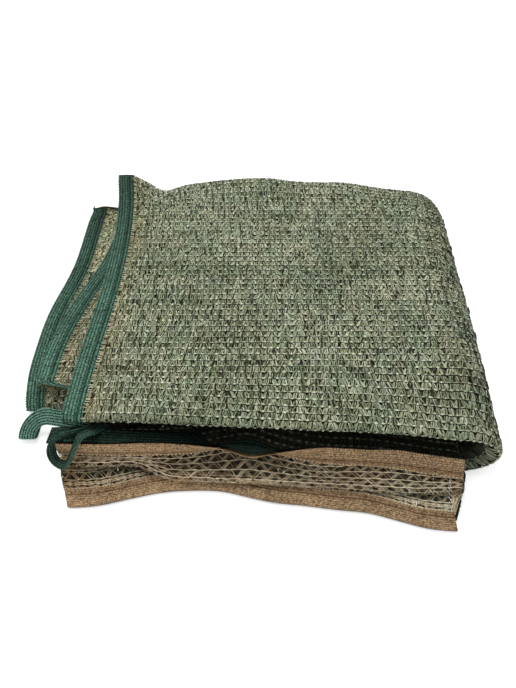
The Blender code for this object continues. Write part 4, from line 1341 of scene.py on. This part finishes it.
def band_piece(name, table, width, rib=2.6, thickness=1.6, steps=90, material=LOOP_TAPE, painted_dim=1.0):
    """A ribbed band along the table's path. Its last argument is painted shade, the same everywhere or
    given by step.
    """
    path, at = rounded(table, steps)
    wide = unit(path[:, 3:])
    flat = unit(np.cross(np.gradient(path[:, :3], axis=0), wide))
    across = np.linspace(-width / 2, width / 2, 29)
    rows = []
    for face in (1, -1):
        ribs = BAND_RIB * np.cos(across / rib * 2 * math.pi)
        edge = np.clip((width / 2 - np.abs(across)) / 1.2, 0, 1)
        height = face * (thickness / 2 * edge + ribs * edge)
        row = path[:, None, :3] + wide[:, None] * across[:, None] + flat[:, None] * height[:, None]
        rows.append(row if face > 0 else row[:, ::-1])
    ring = np.concatenate([rows[0], rows[1][:, 1:-1]], 1)
    ring = np.concatenate([ring, ring[:, :1]], 1)
    across_ring = np.concatenate([across, across[::-1][1:-1], across[:1]])
    shade = np.zeros(ring.shape[:2])
    heap = Heap()
    heap.add(
        ring, band_faces(1, *ring.shape[:2]), along=np.repeat(at, ring.shape[1]),
        across=np.tile(across_ring, len(path)), groove=shade, shade=shade + painted_dim)
    return heap.to_object(name, material)


# painted shade: the tail is darkened along its length into the dark slot, and the lower loop is painted
# darker than the upper one
tape_tail = band_piece(
    "binding_green_tail", TAPE_TAIL, TAIL_WIDE, rib=RIB, thickness=1.2, steps=TAIL_STEPS,
    material=GREEN_TAPE, painted_dim=np.linspace(0.32, 0.1, TAIL_STEPS)[:, None])
loop_pieces = {
    "loop_upper": band_piece("tie_loop_upper", LOOP_UPPER, UPPER_WIDE),
    "loop_lower": band_piece("tie_loop_lower", LOOP_LOWER, LOWER_WIDE, painted_dim=0.33),
}

# %% [markdown]
# ## What each piece stands for
# Cloth has no joints, so every piece rides on the one body. It hides the plain solid that it stands
# for. Each ply is one sheet of cloth, cut 1.0 m by 1.5 m.

# %% Ride and replace
stands_for = {
    loop_pieces["loop_upper"]: ("loop_upper", "loop_tape"),
    loop_pieces["loop_lower"]: ("loop_lower", "loop_tape"),
}
for node, piece in tape_pieces.items():
    stands_for[piece] = (node, "green_tape" if "green" in node else "tan_tape")
stands_for[tape_tail] = ("tape_green_front", "green_tape")
for piece in green_pieces:
    stands_for[piece] = ("net_green", "green_ply")
for piece in tan_pieces:
    stands_for[piece] = ("net_tan", "tan_ply")
for piece, (node, slot) in stands_for.items():
    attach(piece, "root")
    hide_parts(node)
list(loop_pieces.values())
print(len(stands_for), "pieces stand for the solids")

# %% [markdown]
# ## Floor, light and camera
# A pale floor that glows a little, a white surround and one broad lamp high up, behind and to the
# left, show the cloth without hard shadows. Small lamps would give every yarn a sharp black one.

# %% Floor
FLOOR_HALF, FLOOR_AT = 15.0, -0.0002
FLOOR_WHITE, FLOOR_GLOW = (0.93, 0.93, 0.93, 1), 0.5
floor_mesh = bpy.data.meshes.new("floor")
around = ((-1, -1), (1, -1), (1, 1), (-1, 1))
corners = [(x * FLOOR_HALF, y * FLOOR_HALF, FLOOR_AT) for x, y in around]
floor_mesh.from_pydata(corners, [], [(0, 1, 2, 3)])
floor = bpy.data.objects.new("floor", floor_mesh)
bpy.context.scene.collection.objects.link(floor)
floor_material, floor_tree, floor_shader = new_material("pale_floor", 0.9, 0.1)
floor_shader.inputs["Base Color"].default_value = FLOOR_WHITE
floor_shader.inputs["Emission Color"].default_value = (1, 1, 1, 1)
floor_shader.inputs["Emission Strength"].default_value = FLOOR_GLOW
floor_mesh.materials.append(floor_material)
print("the floor is", 2 * FLOOR_HALF, "m wide")

# %% Light
SURROUND = 0.75
world = bpy.data.worlds.new("studio")
world.use_nodes = True
background = world.node_tree.nodes["Background"]
background.inputs["Color"].default_value = (1, 1, 1, 1)
background.inputs["Strength"].default_value = SURROUND
bpy.context.scene.world = world


def soft_light(name, place_at, aim_at, size, power):
    light = bpy.data.lights.new(name, "AREA")
    light.shape = "SQUARE"
    light.size = size
    light.energy = power
    lamp = bpy.data.objects.new(name, light)
    lamp.location = place_at
    direction = np.array(aim_at) - np.array(place_at)
    lamp.rotation_euler = Vector(direction).to_track_quat("-Z", "Y").to_euler()
    bpy.context.scene.collection.objects.link(lamp)


soft_light("overhead", place_at=(-0.5, 0.5, 1.9), aim_at=(0, 0, 0), size=1.2, power=22)
print("the surround has a strength of", SURROUND)

# %% [markdown]
# The camera stands in front and looks 45 degrees down. Its focal length is given in pixels of a
# frame 688 high, and turned into millimetres for the lens.

# %% Camera
CAMERA_BACK, CAMERA_UP, CAMERA_TILT = -791.5, 0.750, 45
CAMERA_AT = (-ORIGIN[0] * MM, (CAMERA_BACK - ORIGIN[1]) * MM, CAMERA_UP)
FOCAL_PIXELS, FRAME_PIXELS, SENSOR = 760.0, 688.0, 36.0
camera_data = bpy.data.cameras.new("camera")
camera_data.sensor_width = SENSOR
camera_data.lens = SENSOR * FOCAL_PIXELS / FRAME_PIXELS
camera = bpy.data.objects.new("camera", camera_data)
camera.location = CAMERA_AT
camera.rotation_euler = (math.radians(CAMERA_TILT), 0, 0)
bpy.context.scene.collection.objects.link(camera)
bpy.context.scene.camera = camera
bpy.context.scene.view_settings.view_transform = "Standard"
print("lens", round(camera_data.lens, 2), "mm")
